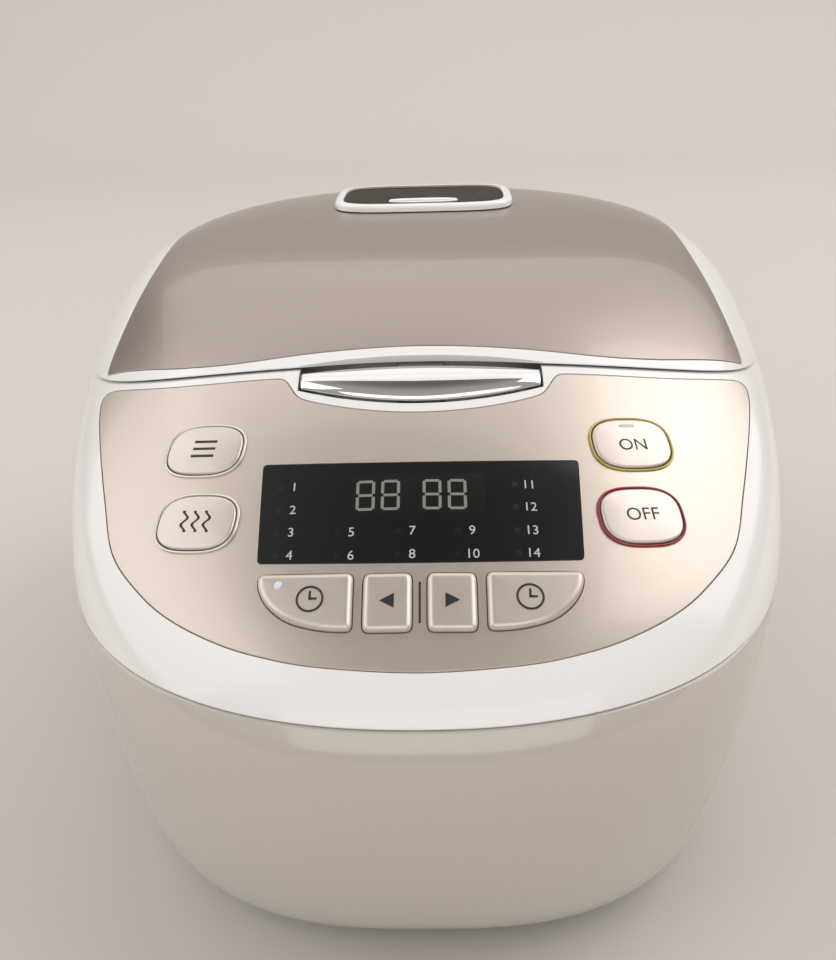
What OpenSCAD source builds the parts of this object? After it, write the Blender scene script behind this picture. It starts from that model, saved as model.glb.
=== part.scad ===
// Jar rice cooker with a sloping control panel, a hinged lid and a removable pan.
// Millimetres. X to the right, Y to the back, Z up, feet on z = 0.

/* [Body] */
// Width across the shell
body_w = 280; // [278:1:284]
// Reach of the shell to the front of its centre
reach_front = 180.1; // [178:0.1:181]
// Reach of the shell to the back of its centre
reach_back = 193; // [191:0.5:194]
// Height of the centre of the shell
mid_z = 127.5; // [126:0.5:129]
// Wall of the shells
wall = 3; // [2.6:0.1:3.2]
// Height of the joint between lower body and upper ring
seam_z = 122; // [118:1:124]
// Open line left between the two shells
seam_gap = 0.3; // [0.2:0.1:0.6]

/* [Lid] */
// Height of the lid line at the back
line_z = 175; // [174:0.5:176]
// Rise of the lid line at the front
line_rise = 16.9; // [16:0.1:17.5]
// Open line between lid and ring
lid_gap = 0.8; // [0.6:0.1:1.2]
// Thickness of the silver top sheet
sheet_t = 1.7; // [1.2:0.1:1.8]
// Distance of the flat lid back from the centre
lid_back = 167.5; // [166.5:0.5:168]
// Depth of the steam cap front to back
cap_d = 56; // [52:1:58]
// Width of the steam cap
cap_w = 88; // [80:1:90]
// Height of the steam cap top
cap_top = 222; // [221:0.5:223]

/* [Controls] */
// Thickness of the control panel
panel_t = 1.6; // [1.2:0.1:1.8]
// How far the keys stand out
key_rise = 1; // [0.6:0.1:1.4]
// Gap round each key
key_gap = 0.3; // [0.25:0.05:0.4]
// Width of the oval keys
oval_w = 27.3; // [26:0.1:29]
// Height of the oval keys
oval_h = 20.3; // [19.5:0.1:22]
// Travel room under each key
key_room = 1.3; // [1.3:0.1:1.6]

/* [Pan] */
// Inner radius of the pan
pan_r = 105; // [100:1:106]
// Thickness of the pan
pan_t = 2; // [1.5:0.1:2.5]
// Gap between the pan and the liner
pan_gap = 8; // [7.5:0.1:8.4]
// How far the lid plug reaches past the pan
plug_lap = 1; // [0.5:0.1:1.2]
// Height of the pan rim
pan_top = 170; // [169:0.5:170]
// Distance of the pan centre behind the middle
pan_y = 52; // [51:0.5:52]
// Top of the heating plate
plate_z = 42; // [40:0.5:43]

/* [Hinge and latch] */
// Radius of the hinge shaft
shaft_r = 2.5; // [2:0.1:3]
// Clearance of turning parts on the radius
turn_gap = 0.05; // [0.02:0.01:0.1]
// Radius of the latch pin
pin_r = 1.5; // [1.2:0.1:1.8]

/* [Feet] */
// Radius of a foot
foot_r = 10; // [8:0.5:12]
// Height of a foot
foot_h = 5; // [5:0.5:5]

/* [Hidden] */
$fn = 64;
half_w = body_w / 2;
mid_y = -10.4;
mid = [0, mid_y, mid_z];
base_z = 8;
square_front = 2.4;
square_back = 2.38;
square_low = 1.23;
round_low = 1.8;
round_top = 8.3;
drop_low = 268.6;
rise_top = 91.2;
panel_a = 29.86;
panel_d = 90.9;
panel_r = 568;
top_a = 21.9;
top_d = 86.4;
top_rx = 390;
top_ry = 837;
blend = 12;
hinge_y = 175;
hinge_z = 177;
pin_y = -68;
pin_z = 174.5;
deck_z = 166;
deck_t = 3;
liner_r = pan_r + pan_t + pan_gap;
rim_r = liner_r + 3;
plug_r = pan_r + pan_t + plug_lap;
cap_y = 98;
board_w = -20;
panel_o = [0, -121, 164.3];
turns = 84;
white = [0.93, 0.92, 0.91];
steel = [0.7, 0.71, 0.72];
alu = [0.8, 0.81, 0.82];
dark = [0.13, 0.13, 0.14];
silver = [0.72, 0.68, 0.65];

// ---- shape of the whole shell, as a gauge that is 1 on the surface ----
function up(a, n) = pow(abs(a), n);

function gauge(x, y, z) =
  let (b = y < 0 ? reach_front : reach_back)
  let (n = (y < 0 ? square_front : square_back) + (z < 0 ? square_low * z * z / (x * x + y * y + z * z) : 0))
  let (h = pow(up(x / half_w, n) + up(y / b, n), 1 / n))
  let (p = z < 0 ? round_low : round_top)
  let (q = z < 0 ? drop_low : rise_top)
  let (side = pow(pow(h, p) + up(z / q, p), 1 / p))
  let (zf = -y * sin(panel_a) + z * cos(panel_a))
  let (front = max(0, (zf + sqrt(zf * zf + 2 * panel_d * x * x / panel_r)) / (2 * panel_d)))
  let (zt = -y * sin(top_a) + z * cos(top_a))
  let (yt = y * cos(top_a) + z * sin(top_a))
  let (top = max(0, (zt + sqrt(zt * zt + 2 * top_d * (x * x / top_rx + yt * yt / top_ry))) / (2 * top_d)))
  let (floor = max(0, -z / mid_z))
  pow(pow(side, blend) + pow(front, blend) + pow(top, blend) + pow(floor, blend), 1 / blend);

function ray(az, el) = [cos(el) * cos(az), cos(el) * sin(az), sin(el)];

// point on the shell seen from its centre, w below the surface
function shell(az, el, w = 0) =
  let (d = ray(az, el))
  mid + (1 / gauge(d[0], d[1], d[2]) - w) * d;

function lift(x, y) = (line_rise - 0.00077 * x * x) * min(1, max(0, (40 - y) / 107));

// elevation at which the shell reaches the height z + c * lift
function reach_el(az, w, z, c, lo = -75, hi = 89, i = 0) =
  let (m = (lo + hi) / 2)
  i > 24 ? m :
  let (p = shell(az, m, w))
  p[2] > z + c * lift(p[0], p[1])
    ? reach_el(az, w, z, c, lo, m, i + 1)
    : reach_el(az, w, z, c, m, hi, i + 1);

function flat_el(az, w, z) = reach_el(az, w, z, 0);
function line_el(az, w, z) = reach_el(az, w, line_z + z, 1);
function mix(a, b, t) = a + (b - a) * t;

// plan point of a bottom screw, an inset from the edge of the shell
post_turn = [45.8, 134.2, -44.5, -135.5];
function post_pt(az, inset) =
  let (p = shell(az, flat_el(az, 0, base_z)))
  let (d = [cos(az), sin(az)])
  [p[0] - inset * d[0], p[1] - inset * d[1]];

// outline of the shell at one height
function section(z, w, n = turns) = [for (i = [0:n - 1])
  let (p = shell(i * 360 / n, flat_el(i * 360 / n, w, z), w)) [p[0], p[1]]];

// height of the shell over the plan point
function roof(x, y, lo = 0, hi = 110, i = 0) =
  let (m = (lo + hi) / 2)
  i > 26 ? m + mid_z :
  gauge(x, y - mid_y, m) > 1 ? roof(x, y, lo, m, i + 1) : roof(x, y, m, hi, i + 1);

// control panel frame: u across, v up the slope, w out of it
function panel_pt(u, v, w) = panel_o + [u, v * cos(panel_a) - w * sin(panel_a),
  v * sin(panel_a) + w * cos(panel_a)];
function panel_w(u, v, lo = -70, hi = 12, i = 0) =
  let (m = (lo + hi) / 2)
  i > 26 ? m :
  let (p = panel_pt(u, v, m) - mid)
  gauge(p[0], p[1], p[2]) > 1 ? panel_w(u, v, lo, m, i + 1) : panel_w(u, v, m, hi, i + 1);

module on_panel() {
  translate(panel_o) rotate([panel_a, 0, 0]) children();
}

// local frame of a key: its centre on the surface, z out of the surface
module at_key(q, turn = 0) {
  tu = atan((panel_w(q[0] + 6, q[1]) - panel_w(q[0] - 6, q[1])) / 12);
  tv = atan((panel_w(q[0], q[1] + 6) - panel_w(q[0], q[1] - 6)) / 12);
  translate(panel_pt(q[0], q[1], panel_w(q[0], q[1])))
    rotate([panel_a, 0, 0])
      rotate([tv, 0, 0])
        rotate([0, -tu, 0])
          rotate([0, 0, turn])
            children();
}

// ---- outlines ----
function flip(p) = [for (i = [len(p) - 1:-1:0]) [-p[i][0], p[i][1]]];
function bend(a, b, c, d, t) =
  0.5 * (2 * b + (c - a) * t + (2 * a - 5 * b + 4 * c - d) * t * t + (3 * b - a - 3 * c + d) * t * t * t);
function spline(p, n) = [for (i = [1:len(p) - 3]) for (k = [0:n - 1]) bend(p[i - 1], p[i], p[i + 1],
  p[i + 2], k / n)];
function unit(v) = v / norm(v);
function grow(p, d) = [for (i = [0:len(p) - 1])
  let (n = len(p))
  let (a = unit(p[i] - p[(i + n - 1) % n]))
  let (b = unit(p[(i + 1) % n] - p[i]))
  let (m = unit(a + b))
  p[i] + [m[1], -m[0]] * d / max(0.6, m[0] * a[0] + m[1] * a[1])];
function oval(a, b, n, k = 40) = [for (i = [0:k - 1]) let (c = cos(i * 360 / k)) let (s = sin(i * 360 / k))
  [a * sign(c) * up(c, 2 / n), b * sign(s) * up(s, 2 / n)]];

panel_half = concat(
  spline([[-30, -54.7], [0, -57], [30, -54.7], [49, -50.4], [64, -44.6], [79.5, -35.6], [91.5, -25],
    [103.5, -9.5], [110.5, 12], [118.3, 39], [122.4, 56], [123, 66]], 3),
  [[122.4, 56], [122.9, 61.5], [122.1, 64.3], [119.4, 64.9]],
  spline([[122, 66], [112, 63], [96, 59.7], [80, 58], [64, 57.1], [50.6, 56.5], [40, 56.3]], 2),
  [[50.6, 56.5], [49.2, 56.1], [48.4, 55], [44.4, 47.6], [43.2, 46.3]],
  [for (x = [39:-6:3]) [x, 37.4 + 0.0046 * x * x]]);
panel_edge = concat(panel_half, [[0, 37.4]], [for (i = [0:len(panel_half) - 2]) flip(panel_half)[i]]);

open_half = [[30, -48.7], [49, -44.4], [62, -38.8], [75, -31], [86, -21], [97, -7], [104, 13.5],
  [111, 40], [114, 53],
  [110, 57], [96, 53.8], [80, 52], [64, 51], [53, 50.4], [47.5, 43], [44.5, 39.6], [22, 33.2]];
open_edge = concat([[0, -51]], open_half, [[0, 31.2]], flip(open_half));

lid_half = spline([[-35, -60], [0, -59.7], [35, -60], [66, -59.6], [88, -56.2], [106, -50.6],
  [119.6, -45.4],
  [123.9, -43.3], [124.6, -38.5], [123.6, -26], [121.4, -6], [118.9, 14.7], [117.4, 36], [116.4, 60],
    [113, 86],
  [103.5, 113], [86, 136], [60, 151], [30, 158], [0, 159.8], [-30, 158]], 3);
lid_edge = concat(lid_half, [[0, 159.8]], [for (i = [0:len(lid_half) - 2]) flip(lid_half)[i]]);

display_edge = concat(
  [for (x = [-51.6:8.6:51.6]) [x, -21.9 + 0.0007 * x * x]],
  [for (x = [53.1:-8.85:-53.1]) [x, 16.1 + 0.0007 * x * x]]);
leaf_edge = concat([[-14.9, 8.6], [-15, -9.4]],
  spline([[-20, -9.5], [-14.2, -10], [-5, -9.2], [4.5, -6.4], [11, -1.6], [14.6, 4], [15.4, 9],
    [14, 14]], 3),
  [[15.3, 9.3], [14.6, 10.1], [0, 9.6], [-14.2, 9.2]]);
arrow_edge = oval(7.6, 9.7, 9, 40);
button_front = [for (x = [-43.5:7.25:43.5]) [x, -84.1 + 0.00455 * x * x]];
button_edge = concat(button_front, [[43.5, -70.2], [14.5, -70], [-14.5, -70], [-43.5, -70.2]]);

menu_at = [-74.8, 26.6];
warm_at = [-73.9, -2.8];
start_at = [72.4, 26.3];
off_at = [72.2, -2.7];
timer_at = [-35.5, -34.4];
left_at = [-9.9, -35.2];
right_at = [9.9, -35.2];
cook_at = [35.5, -34.4];

// ---- builders ----
// closed band made of one loop of points at each step round
module band(loops) {
  n = len(loops);
  m = len(loops[0]);
  polyhedron([for (l = loops) for (p = l) p],
    [for (i = [0:n - 1]) for (j = [0:m - 1])
      let (a = i * m + j)
      let (b = i * m + (j + 1) % m)
      let (c = ((i + 1) % n) * m + (j + 1) % m)
      let (d = ((i + 1) % n) * m + j)
      each [[a, b, c], [a, c, d]]], convexity = 8);
}

function lid_pt(q, w) = let (p = [q[0], q[1], roof(q[0], q[1])]) p + unit(p - mid) * w;
function skin(lid, q, w) = lid ? lid_pt(q, w) : panel_pt(q[0], q[1], panel_w(q[0], q[1]) + w);

// sheet that follows the shell inside an outline, from lo to hi over the surface
module sheet(lid, edge, hub, lo, hi, rings) {
  n = len(edge);
  k = len(rings);
  t = n * k;
  polyhedron(concat(
    [for (f = rings) for (p = edge) skin(lid, mix(hub, p, f), hi)],
    [for (f = rings) for (p = edge) skin(lid, mix(hub, p, f), lo)],
    [skin(lid, hub, hi), skin(lid, hub, lo)]),
    concat(
      [for (i = [0:n - 1]) [2 * t, (i + 1) % n, i]],
      [for (i = [0:n - 1]) [2 * t + 1, t + i, t + (i + 1) % n]],
      [for (r = [0:k - 2]) for (i = [0:n - 1]) let (a = r * n + i) let (b = r * n + (i + 1) % n)
        each [[a, b, b + n], [a, b + n, a + n], [t + a, t + b + n, t + b], [t + a, t + a + n, t + b + n]]],
      [for (i = [0:n - 1]) let (a = (k - 1) * n + i) let (b = (k - 1) * n + (i + 1) % n)
        each [[t + a, a, b], [t + a, b, t + b]]]), convexity = 8);
}

// curved shells are cut as one mesh
module one_mesh() {
  resize([0, 0, 0]) children();
}

module rod(a, b, r) {
  d = b - a;
  translate(a) rotate([0, acos(d[2] / norm(d)), atan2(d[1], d[0])]) cylinder(h = norm(d), r = r, $fn = 32);
}

module wire(path, r) {
  for (i = [0:len(path) - 2]) rod(path[i], path[i + 1], r);
  for (i = [1:len(path) - 2]) translate(path[i]) sphere(r = r * 1.2);
}

module slab(edge, lo, hi) {
  translate([0, 0, lo]) linear_extrude(height = hi - lo) polygon(edge);
}

// wire spring round z from z = 0 upwards
module coil(r, wr, h, rounds, steps) {
  n = rounds * steps;
  function cp(i, j) = let (a = i * 360 / steps) let (q = r + wr * cos(j * 90 + 45))
    [q * cos(a), q * sin(a), h * i / n + wr * sin(j * 90 + 45)];
  polyhedron([for (i = [0:n]) for (j = [0:3]) cp(i, j)],
    concat([[0, 1, 2], [0, 2, 3], [4 * n, 4 * n + 2, 4 * n + 1], [4 * n, 4 * n + 3, 4 * n + 2]],
      [for (i = [0:n - 1]) for (j = [0:3]) let (a = 4 * i + j) let (b = 4 * i + (j + 1) % 4)
        each [[a, a + 4, b + 4], [a, b + 4, b]]]), convexity = 8);
}

module ring(r0, r1, z0, z1) {
  translate([0, pan_y, 0]) rotate_extrude($fn = 96) translate([r0, z0]) square([r1 - r0, z1 - z0]);
}

// bar across, drawn as an outline seen from the side (y, z)
module side_bar(edge, x0, x1) {
  translate([x0, 0, 0]) rotate([90, 0, 90]) linear_extrude(height = x1 - x0) polygon(edge);
}

// ---- body, outside ----
module lower_body() {
  w = wall * 1.1;
  color(silver) one_mesh() difference() {
    union() {
      band([for (i = [0:turns - 1]) let (az = i * 360 / turns)
        let (e0 = flat_el(az, 0, base_z))
        let (e1 = flat_el(az, 0, seam_z - seam_gap / 2))
        let (f0 = flat_el(az, w, base_z))
        let (f1 = flat_el(az, w, seam_z - seam_gap / 2))
        concat([for (t = [0, 0.05, 0.14, 0.28, 0.45, 0.64, 0.82, 1]) shell(az, mix(e0, e1, t))],
          [for (t = [1, 0.75, 0.5, 0.25, 0.08, 0]) shell(az, mix(f0, f1, t), w)])]);
      for (a = post_turn) translate(concat(post_pt(a, 14), base_z)) cylinder(h = 16, r = 7, $fn = 24);
    }
    for (a = post_turn) translate(concat(post_pt(a, 17.6), 7)) cylinder(h = 14, r = 1.7, $fn = 16);
    at_inlet() translate([-17.3, -30, -12.3]) cube([34.6, 50, 24.6]);
    at_inlet() translate([-19.2, 4, -14.2]) cube([38.4, 30, 28.4]);
  }
}

module upper_ring() {
  w = wall * 1.1;
  color(white) one_mesh() difference() {
    band([for (i = [0:turns - 1]) let (az = i * 360 / turns)
      let (e0 = flat_el(az, 0, seam_z + seam_gap / 2))
      let (e1 = line_el(az, 0, -lid_gap / 2))
      let (f0 = flat_el(az, w, seam_z + 6))
      let (f1 = line_el(az, w, -lid_gap / 2))
      let (g = w + 1.5)
      concat([for (t = [0, 0.06, 0.12, 0.19, 0.28, 0.4, 0.6, 0.8, 1]) shell(az, mix(e0, e1, t))],
        [for (t = [1, 0.66, 0.33, 0]) shell(az, mix(f0, f1, t), w)],
        [shell(az, flat_el(az, g + 2.3, seam_z - 2.6), g + 2.3), shell(az, flat_el(az, g, seam_z - 2.6), g),
          shell(az, flat_el(az, g, seam_z + seam_gap / 2), g)])]);
    sheet(false, grow(panel_edge, 0.25), [0, -34], -panel_t - 0.2, 4, [0.4, 0.75, 0.9, 1]);
    on_panel() slab(open_edge, -48, 6);
    slab(grow(concat(button_front, [[43.5, -50], [-43.5, -50]]), 0.45), 150, 210);
    translate([-37.2, 168, 126]) cube([74.4, 20, 40]);
    translate([-48, 168, deck_z + 1.2]) cube([96, 30, 20]);
  }
}

module bottom_cover() {
  color(dark) difference() {
    union() {
      slab(section(base_z, 1.2), foot_h, base_z - 0.1);
      for (x = [-40, 40]) for (y = [-133, -77]) translate([x, y, 7]) cylinder(h = 19, r = 4, $fn = 32);
    }
    for (a = post_turn) translate(concat(post_pt(a, 17.6), 0)) cylinder(h = 20, r = 1.7, $fn = 24);
    for (x = [-40, 40]) for (y = [-133, -77]) translate([x, y, 18]) cylinder(h = 20, r = 1.65, $fn = 24);
    for (i = [-4:4]) translate([i * 10 - 2, 0, 0]) cube([4, 46, 20]);
    for (i = [-3:3]) translate([i * 10 - 2, -52, 0]) cube([4, 30, 20]);
  }
}

module rubber_feet() {
  color([0.25, 0.25, 0.26]) for (x = [-70, 70]) for (y = [-108, 98]) translate([x, y, 0]) {
    rotate_extrude($fn = 48) polygon([[0, 0], [foot_r - 1.5, 0], [foot_r, 1.5], [foot_r, foot_h - 0.05],
      [0, foot_h - 0.05]]);
  }
}

module one_screw(shank) {
  translate([0, 0, -2]) difference() {
    cylinder(h = 2, r = 3.2, $fn = 32);
    translate([-2.2, -0.5, -1]) cube([4.4, 1, 2]);
    translate([-0.5, -2.2, -1]) cube([1, 4.4, 2]);
  }
  translate([0, 0, -0.5]) cylinder(h = shank + 0.5, r = 1.6, $fn = 24);
}

module screws() {
  color(steel) {
    for (a = post_turn) translate(concat(post_pt(a, 17.6), foot_h - 0.1)) one_screw(12);
    for (x = [-40, 40]) for (y = [-133, -77]) translate([x, y, 27.8]) mirror([0, 0, 1]) one_screw(8);
  }
}

module hinge_cover() {
  cheek = [[168.7, 169.4], [168.7, 177.5], [170.6, 180.8], [174, 182.2], [186.5, 182.2], [188.1, 180.6],
    [188.1, 166.7],
    [183.6, 166.7], [183.6, 169.4]];
  color(white) difference() {
    side_bar(cheek, -47.6, 47.6);
    side_bar([[160, 171], [160, 190], [184.6, 190], [184.6, 171]], -44, 44);
    side_bar([[160, 160], [160, 190], [182.9, 190], [182.9, 160]], -42, 42);
  }
}

module at_inlet() {
  translate([66, 151, 29]) rotate([0, 0, -21]) children();
}

module power_inlet() {
  color(dark) at_inlet() difference() {
    union() {
      translate([-17, -12, -12]) cube([34, 20, 24]);
      translate([-19, 4.2, -14]) cube([38, 3.8, 28]);
    }
    translate([-12, -9, -7.5]) cube([24, 20, 15]);
    for (x = [-5, 5]) translate([x - 1.3, -14, -2.3]) cube([2.6, 10, 4.6]);
  }
}

module inlet_pins() {
  color([0.8, 0.68, 0.4]) at_inlet() for (x = [-5, 5]) translate([x - 1.25, -16, -2.25]) cube([2.5, 18,
    4.5]);
}

// ---- body, inside ----
module inner_deck() {
  color(white) difference() {
    intersection() {
      slab(section(deck_z + deck_t, wall * 1.1 + 3.2), deck_z, deck_z + deck_t);
      translate([-150, -92, 0]) cube([300, 300, 300]);
    }
    translate([0, pan_y, 0]) cylinder(h = 300, r = rim_r + 0.3, $fn = 96);
    translate([-10.5, -86, 0]) cube([21, 16, 300]);
    for (x = [-146, 46]) translate([x, -172, 0]) cube([100, 100, 300]);
    for (x = [-37, 37]) translate([x, 176, 0]) cylinder(h = 300, r = 1.5, $fn = 24);
  }
}

module well_rim() {
  color([0.75, 0.75, 0.74]) translate([0, pan_y, 0]) rotate_extrude($fn = 96)
    polygon([[liner_r + 1.4, 160], [rim_r - 0.8, 160], [rim_r - 0.8, 165], [rim_r, 165.4], [rim_r, 170.2],
      [rim_r - 0.8, 170.8], [liner_r - 2, 170.8], [liner_r - 3.4, 170], [liner_r - 3.4, 165.2],
        [liner_r + 1.4, 165.2]]);
}

module well_liner() {
  color(alu) translate([0, pan_y, 0]) difference() {
    rotate_extrude($fn = 96) polygon([[60, 24], [92, 24], [liner_r - 18.5, 28], [liner_r - 11.5, 42],
      [liner_r - 3.2, 60],
      [liner_r, 80], [liner_r, 165], [liner_r - 1.2, 165], [liner_r - 1.2, 80.2], [liner_r - 4.4, 60.4],
      [liner_r - 12.6, 42.6], [liner_r - 19.3, 29], [91.6, 25.2], [60, 25.2]]);
    for (a = [0:60:300]) rotate([0, 0, a]) translate([75, 0, 0]) cylinder(h = 40, r = 4, $fn = 24);
    for (a = [210, 270]) rotate([0, 0, a]) translate([66, 0, 20]) cylinder(h = 10, r = 4, $fn = 24);
  }
}

module inner_pan() {
  r1 = pan_r + pan_t;
  zb = plate_z + 0.3;
  c = 30;
  color([0.3, 0.3, 0.32]) translate([0, pan_y, 0]) rotate_extrude($fn = 96) polygon(concat(
    [[0, zb]], [for (a = [-90:7.5:0]) [r1 - c + c * cos(a), zb + c + c * sin(a)]],
    [[r1, pan_top - 3.2], [r1 + 0.6, pan_top - 1.5], [111, pan_top - 1.5], [111, pan_top],
      [r1 - 0.8, pan_top],
      [pan_r, pan_top - 1.6]],
    [for (a = [0:-7.5:-90]) [r1 - c + (c - pan_t) * cos(a), zb + c + (c - pan_t) * sin(a)]],
      [[0, zb + pan_t]]));
}

module heating_plate() {
  color([0.62, 0.62, 0.63]) translate([0, pan_y, 0]) {
    rotate_extrude($fn = 96) polygon([[21, 34], [21, plate_z], [72, plate_z], [84, plate_z - 1.2],
      [86, plate_z - 3],
      [86, 35], [74, 33.5], [72, 29], [60, 29], [58, 33.5], [30, 34]]);
    for (a = [15:120:255]) rotate([0, 0, a]) translate([80, 0, 25.3]) cylinder(h = 12, r = 4, $fn = 32);
    for (a = [210, 270]) rotate([0, 0, a]) translate([66, 0, 18]) cylinder(h = 12, r = 2.5, $fn = 32);
  }
}

module centre_sensor() {
  color(alu) translate([0, pan_y, 0]) {
    rotate_extrude($fn = 64) polygon([[0, plate_z + 0.2], [16.5, plate_z + 0.2], [18, plate_z - 1.4],
      [18, 35.4],
      [19.6, 35.4], [19.6, 34.2], [16.4, 34.2], [16.4, plate_z - 2], [0, plate_z - 2]]);
    translate([0, 0, 34.5]) cylinder(h = plate_z - 36, r = 5, $fn = 32);
    for (x = [-1.6, 1.6]) translate([x, 0, 26]) cylinder(h = 9, r = 0.8, $fn = 16);
  }
}

module sensor_spring() {
  color(steel) translate([0, pan_y, 22.9]) coil(10, 0.8, 16.2, 5, 14);
}

module sensor_bracket() {
  color(steel) translate([0, pan_y, 0]) difference() {
    union() {
      translate([0, 0, 20]) cylinder(h = 2, r = 26, $fn = 64);
      for (a = [45:90:315]) rotate([0, 0, a]) translate([22.5, -4, 20]) cube([3, 8, 13.9]);
      for (a = [45:90:315]) rotate([0, 0, a]) translate([22.5, -4, 32.4]) cube([8, 8, 1.5]);
    }
    translate([0, 0, 15]) cylinder(h = 20, r = 6, $fn = 48);
  }
}

module side_heater() {
  color([0.66, 0.6, 0.52]) {
    ring(liner_r + 0.2, liner_r + 1.2, 92, 128);
    translate([-6, pan_y - liner_r - 4.5, 104]) cube([12, 3.8, 14]);
  }
}

module thermal_fuse() {
  color([0.78, 0.74, 0.66]) translate([0, pan_y, 0]) {
    rotate([0, 0, 200]) translate([72, 0, 21.4]) rotate([90, 0, 0]) translate([0, 0, -12])
      cylinder(h = 24, r = 2.2, $fn = 32);
    rotate([0, 0, 200]) translate([70, -3, 20.2]) cube([4, 6, 3.7]);
  }
}

module wiring_harness() {
  color([0.55, 0.12, 0.1]) {
    wire([[65.3, 135.1, 25.4], [66, 130, 14], [84, 60, 13], [84, -30, 13], [44, -62, 34]], 1.3);
    wire([[56, 138.6, 25.4], [58, 131, 15], [62, 104, 17], [78, 60, 17], [78, -26, 17], [36, -62, 38]], 1.3);
    wire([[10, -72, 30.2], [9, -64, 28], [8, -61, 13], [2, -22, 12.5], [0, -14, 16.4]], 1.3);
    wire([[-12, -114, 48.3], [-20, -116, 80], [-16, -121, 136.4]], 1.3);
    wire([[-20, -114, 48.3], [-27, -116, 80], [-23, -121, 136.4]], 1.3);
  }
}

module power_board() {
  color([0.16, 0.38, 0.2]) difference() {
    translate([-46, -140, 26.1]) cube([92, 70, 1.6]);
    for (x = [-40, 40]) for (y = [-133, -77]) translate([x, y, 20]) cylinder(h = 20, r = 1.7, $fn = 24);
  }
}

module power_parts() {
  color([0.2, 0.2, 0.22]) {
    translate([-32, -130, 27.8]) cube([26, 22, 20]);
    translate([4, -132, 27.8]) cube([20, 16, 16]);
    for (x = [0, 14]) translate([x + 2, -96, 27.8]) cylinder(h = 18, r = 5, $fn = 32);
    translate([-30, -94, 27.8]) cube([18, 12, 14]);
    translate([28, -104, 27.8]) cube([6, 20, 14]);
    translate([30, -128, 27.8]) cylinder(h = 6, r = 4, $fn = 32);
  }
}

// ---- controls ----
module key_hole(q, edge, turn, d) {
  at_key(q, turn) slab(grow(edge, d), -9, 8);
}

oval_edge = oval(oval_w / 2, oval_h / 2, 2.8);

// posts of the panel that carry the control board
board_posts = [[-86, 10], [86, 10]];

module control_panel() {
  trim = key_gap + 1.25;
  color([0.82, 0.78, 0.73]) one_mesh() difference() {
    union() {
      sheet(false, panel_edge, [0, -34], -panel_t, 0, [0.4, 0.75, 0.9, 1]);
      on_panel() for (q = board_posts)
        translate([q[0], q[1], board_w + 0.05])
          cylinder(h = panel_w(q[0], q[1]) - board_w - 1.05, r = 2.6, $fn = 16);
    }
    key_hole(menu_at, oval_edge, -7, trim);
    key_hole(start_at, oval_edge, 7, trim);
    key_hole(warm_at, oval_edge, -6.5, trim);
    key_hole(off_at, oval_edge, 6.5, trim);
    key_hole(timer_at, flip(leaf_edge), 0, key_gap);
    key_hole(cook_at, leaf_edge, 0, key_gap);
    key_hole(left_at, arrow_edge, 0, key_gap);
    key_hole(right_at, arrow_edge, 0, key_gap);
    on_panel() slab(grow(display_edge, 0.1), -12, 6);
  }
}

module display_window() {
  color([0.16, 0.17, 0.18]) one_mesh() sheet(false, display_edge, [0, -2.5], -1.5, -0.1, [0.5, 1]);
}

module display_module() {
  color([0.3, 0.3, 0.31]) on_panel() {
    difference() {
      translate([-50, -19, -17]) cube([100, 33, 11]);
      translate([-23.5, -4.5, -7.2]) cube([46, 17, 5]);
      for (q = led_spots) translate([q[0] - 1.2, q[1] - 1.2, -8]) cube([2.4, 2.4, 5]);
    }
    for (x = [-21, -12.8, 0.8, 9]) translate([x, -2.7, -7.3]) for (s = [0, 1]) {
      translate([1, s * 5.6 + 0.5, 0]) cube([0.9, 4.6, 0.5]);
      translate([6, s * 5.6 + 0.5, 0]) cube([0.9, 4.6, 0.5]);
      translate([2, s * 11.3, 0]) cube([3.9, 0.9, 0.5]);
      if (s == 0) translate([2, 5.6, 0]) cube([3.9, 0.9, 0.5]);
    }
    for (x = [-44, 44]) for (v = [-14, 9]) translate([x, v, board_w]) cylinder(h = 4, r = 3, $fn = 32);
  }
}

led_spots = concat([for (v = [7.9, -1, -9.4, -17.8]) [-46.3, v]],
  [for (v = [7.3, -1.3, -10, -18]) [31.2, v]],
  [for (x = [-26.5, -7, 12.1]) for (v = [-10.4]) [x, v]]);

module control_board() {
  color([0.16, 0.38, 0.2]) on_panel() difference() {
    slab([[-46, -49], [46, -49], [70, -38], [90, -14], [92, 30], [20, 30], [16, 24], [-16, 24],
      [-20, 30], [-92, 30], [-90, -14], [-70, -38]],
      board_w - 1.6, board_w);
    for (q = board_posts) translate([q[0], q[1], board_w - 5]) cylinder(h = 10, r = 1.6, $fn = 24);
  }
}

module tact_switches() {
  color(dark) on_panel() for (q = [menu_at, warm_at, start_at, off_at, timer_at, left_at, right_at,
    cook_at])
    translate([q[0] * 0.985, q[1] - (abs(q[0]) < 50 ? 0.5 : 0), board_w]) {
      translate([-3, -3, 0]) cube([6, 6, 2.8]);
      cylinder(h = 4, r = 1.6, $fn = 24);
    }
}

// pressed key: cap, flange that holds it in, and stem down to its switch
module key(q, edge, turn) {
  s = panel_w(q[0], q[1]) - board_w - 4 - key_room;
  at_key(q, turn) {
    slab(edge, -4.1, key_rise);
    slab(grow(edge, 1.3), -4.2, -3.1);
    translate([0, 0, -s]) cylinder(h = s - 3, r = 2.2, $fn = 32);
  }
}

module menu_button() {
  color(silver) key(menu_at, oval_edge, -7);
}

module warm_button() {
  color(silver) key(warm_at, oval_edge, -6.5);
}

module start_button() {
  color(silver) difference() {
    key(start_at, oval_edge, 7);
    at_key(start_at, 7) translate([-3.1, 6.2, 0]) cube([6.2, 2.2, 5]);
  }
}

module off_button() {
  color(silver) key(off_at, oval_edge, 6.5);
}

module timer_button() {
  color(silver) key(timer_at, flip(leaf_edge), 0);
}

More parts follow.
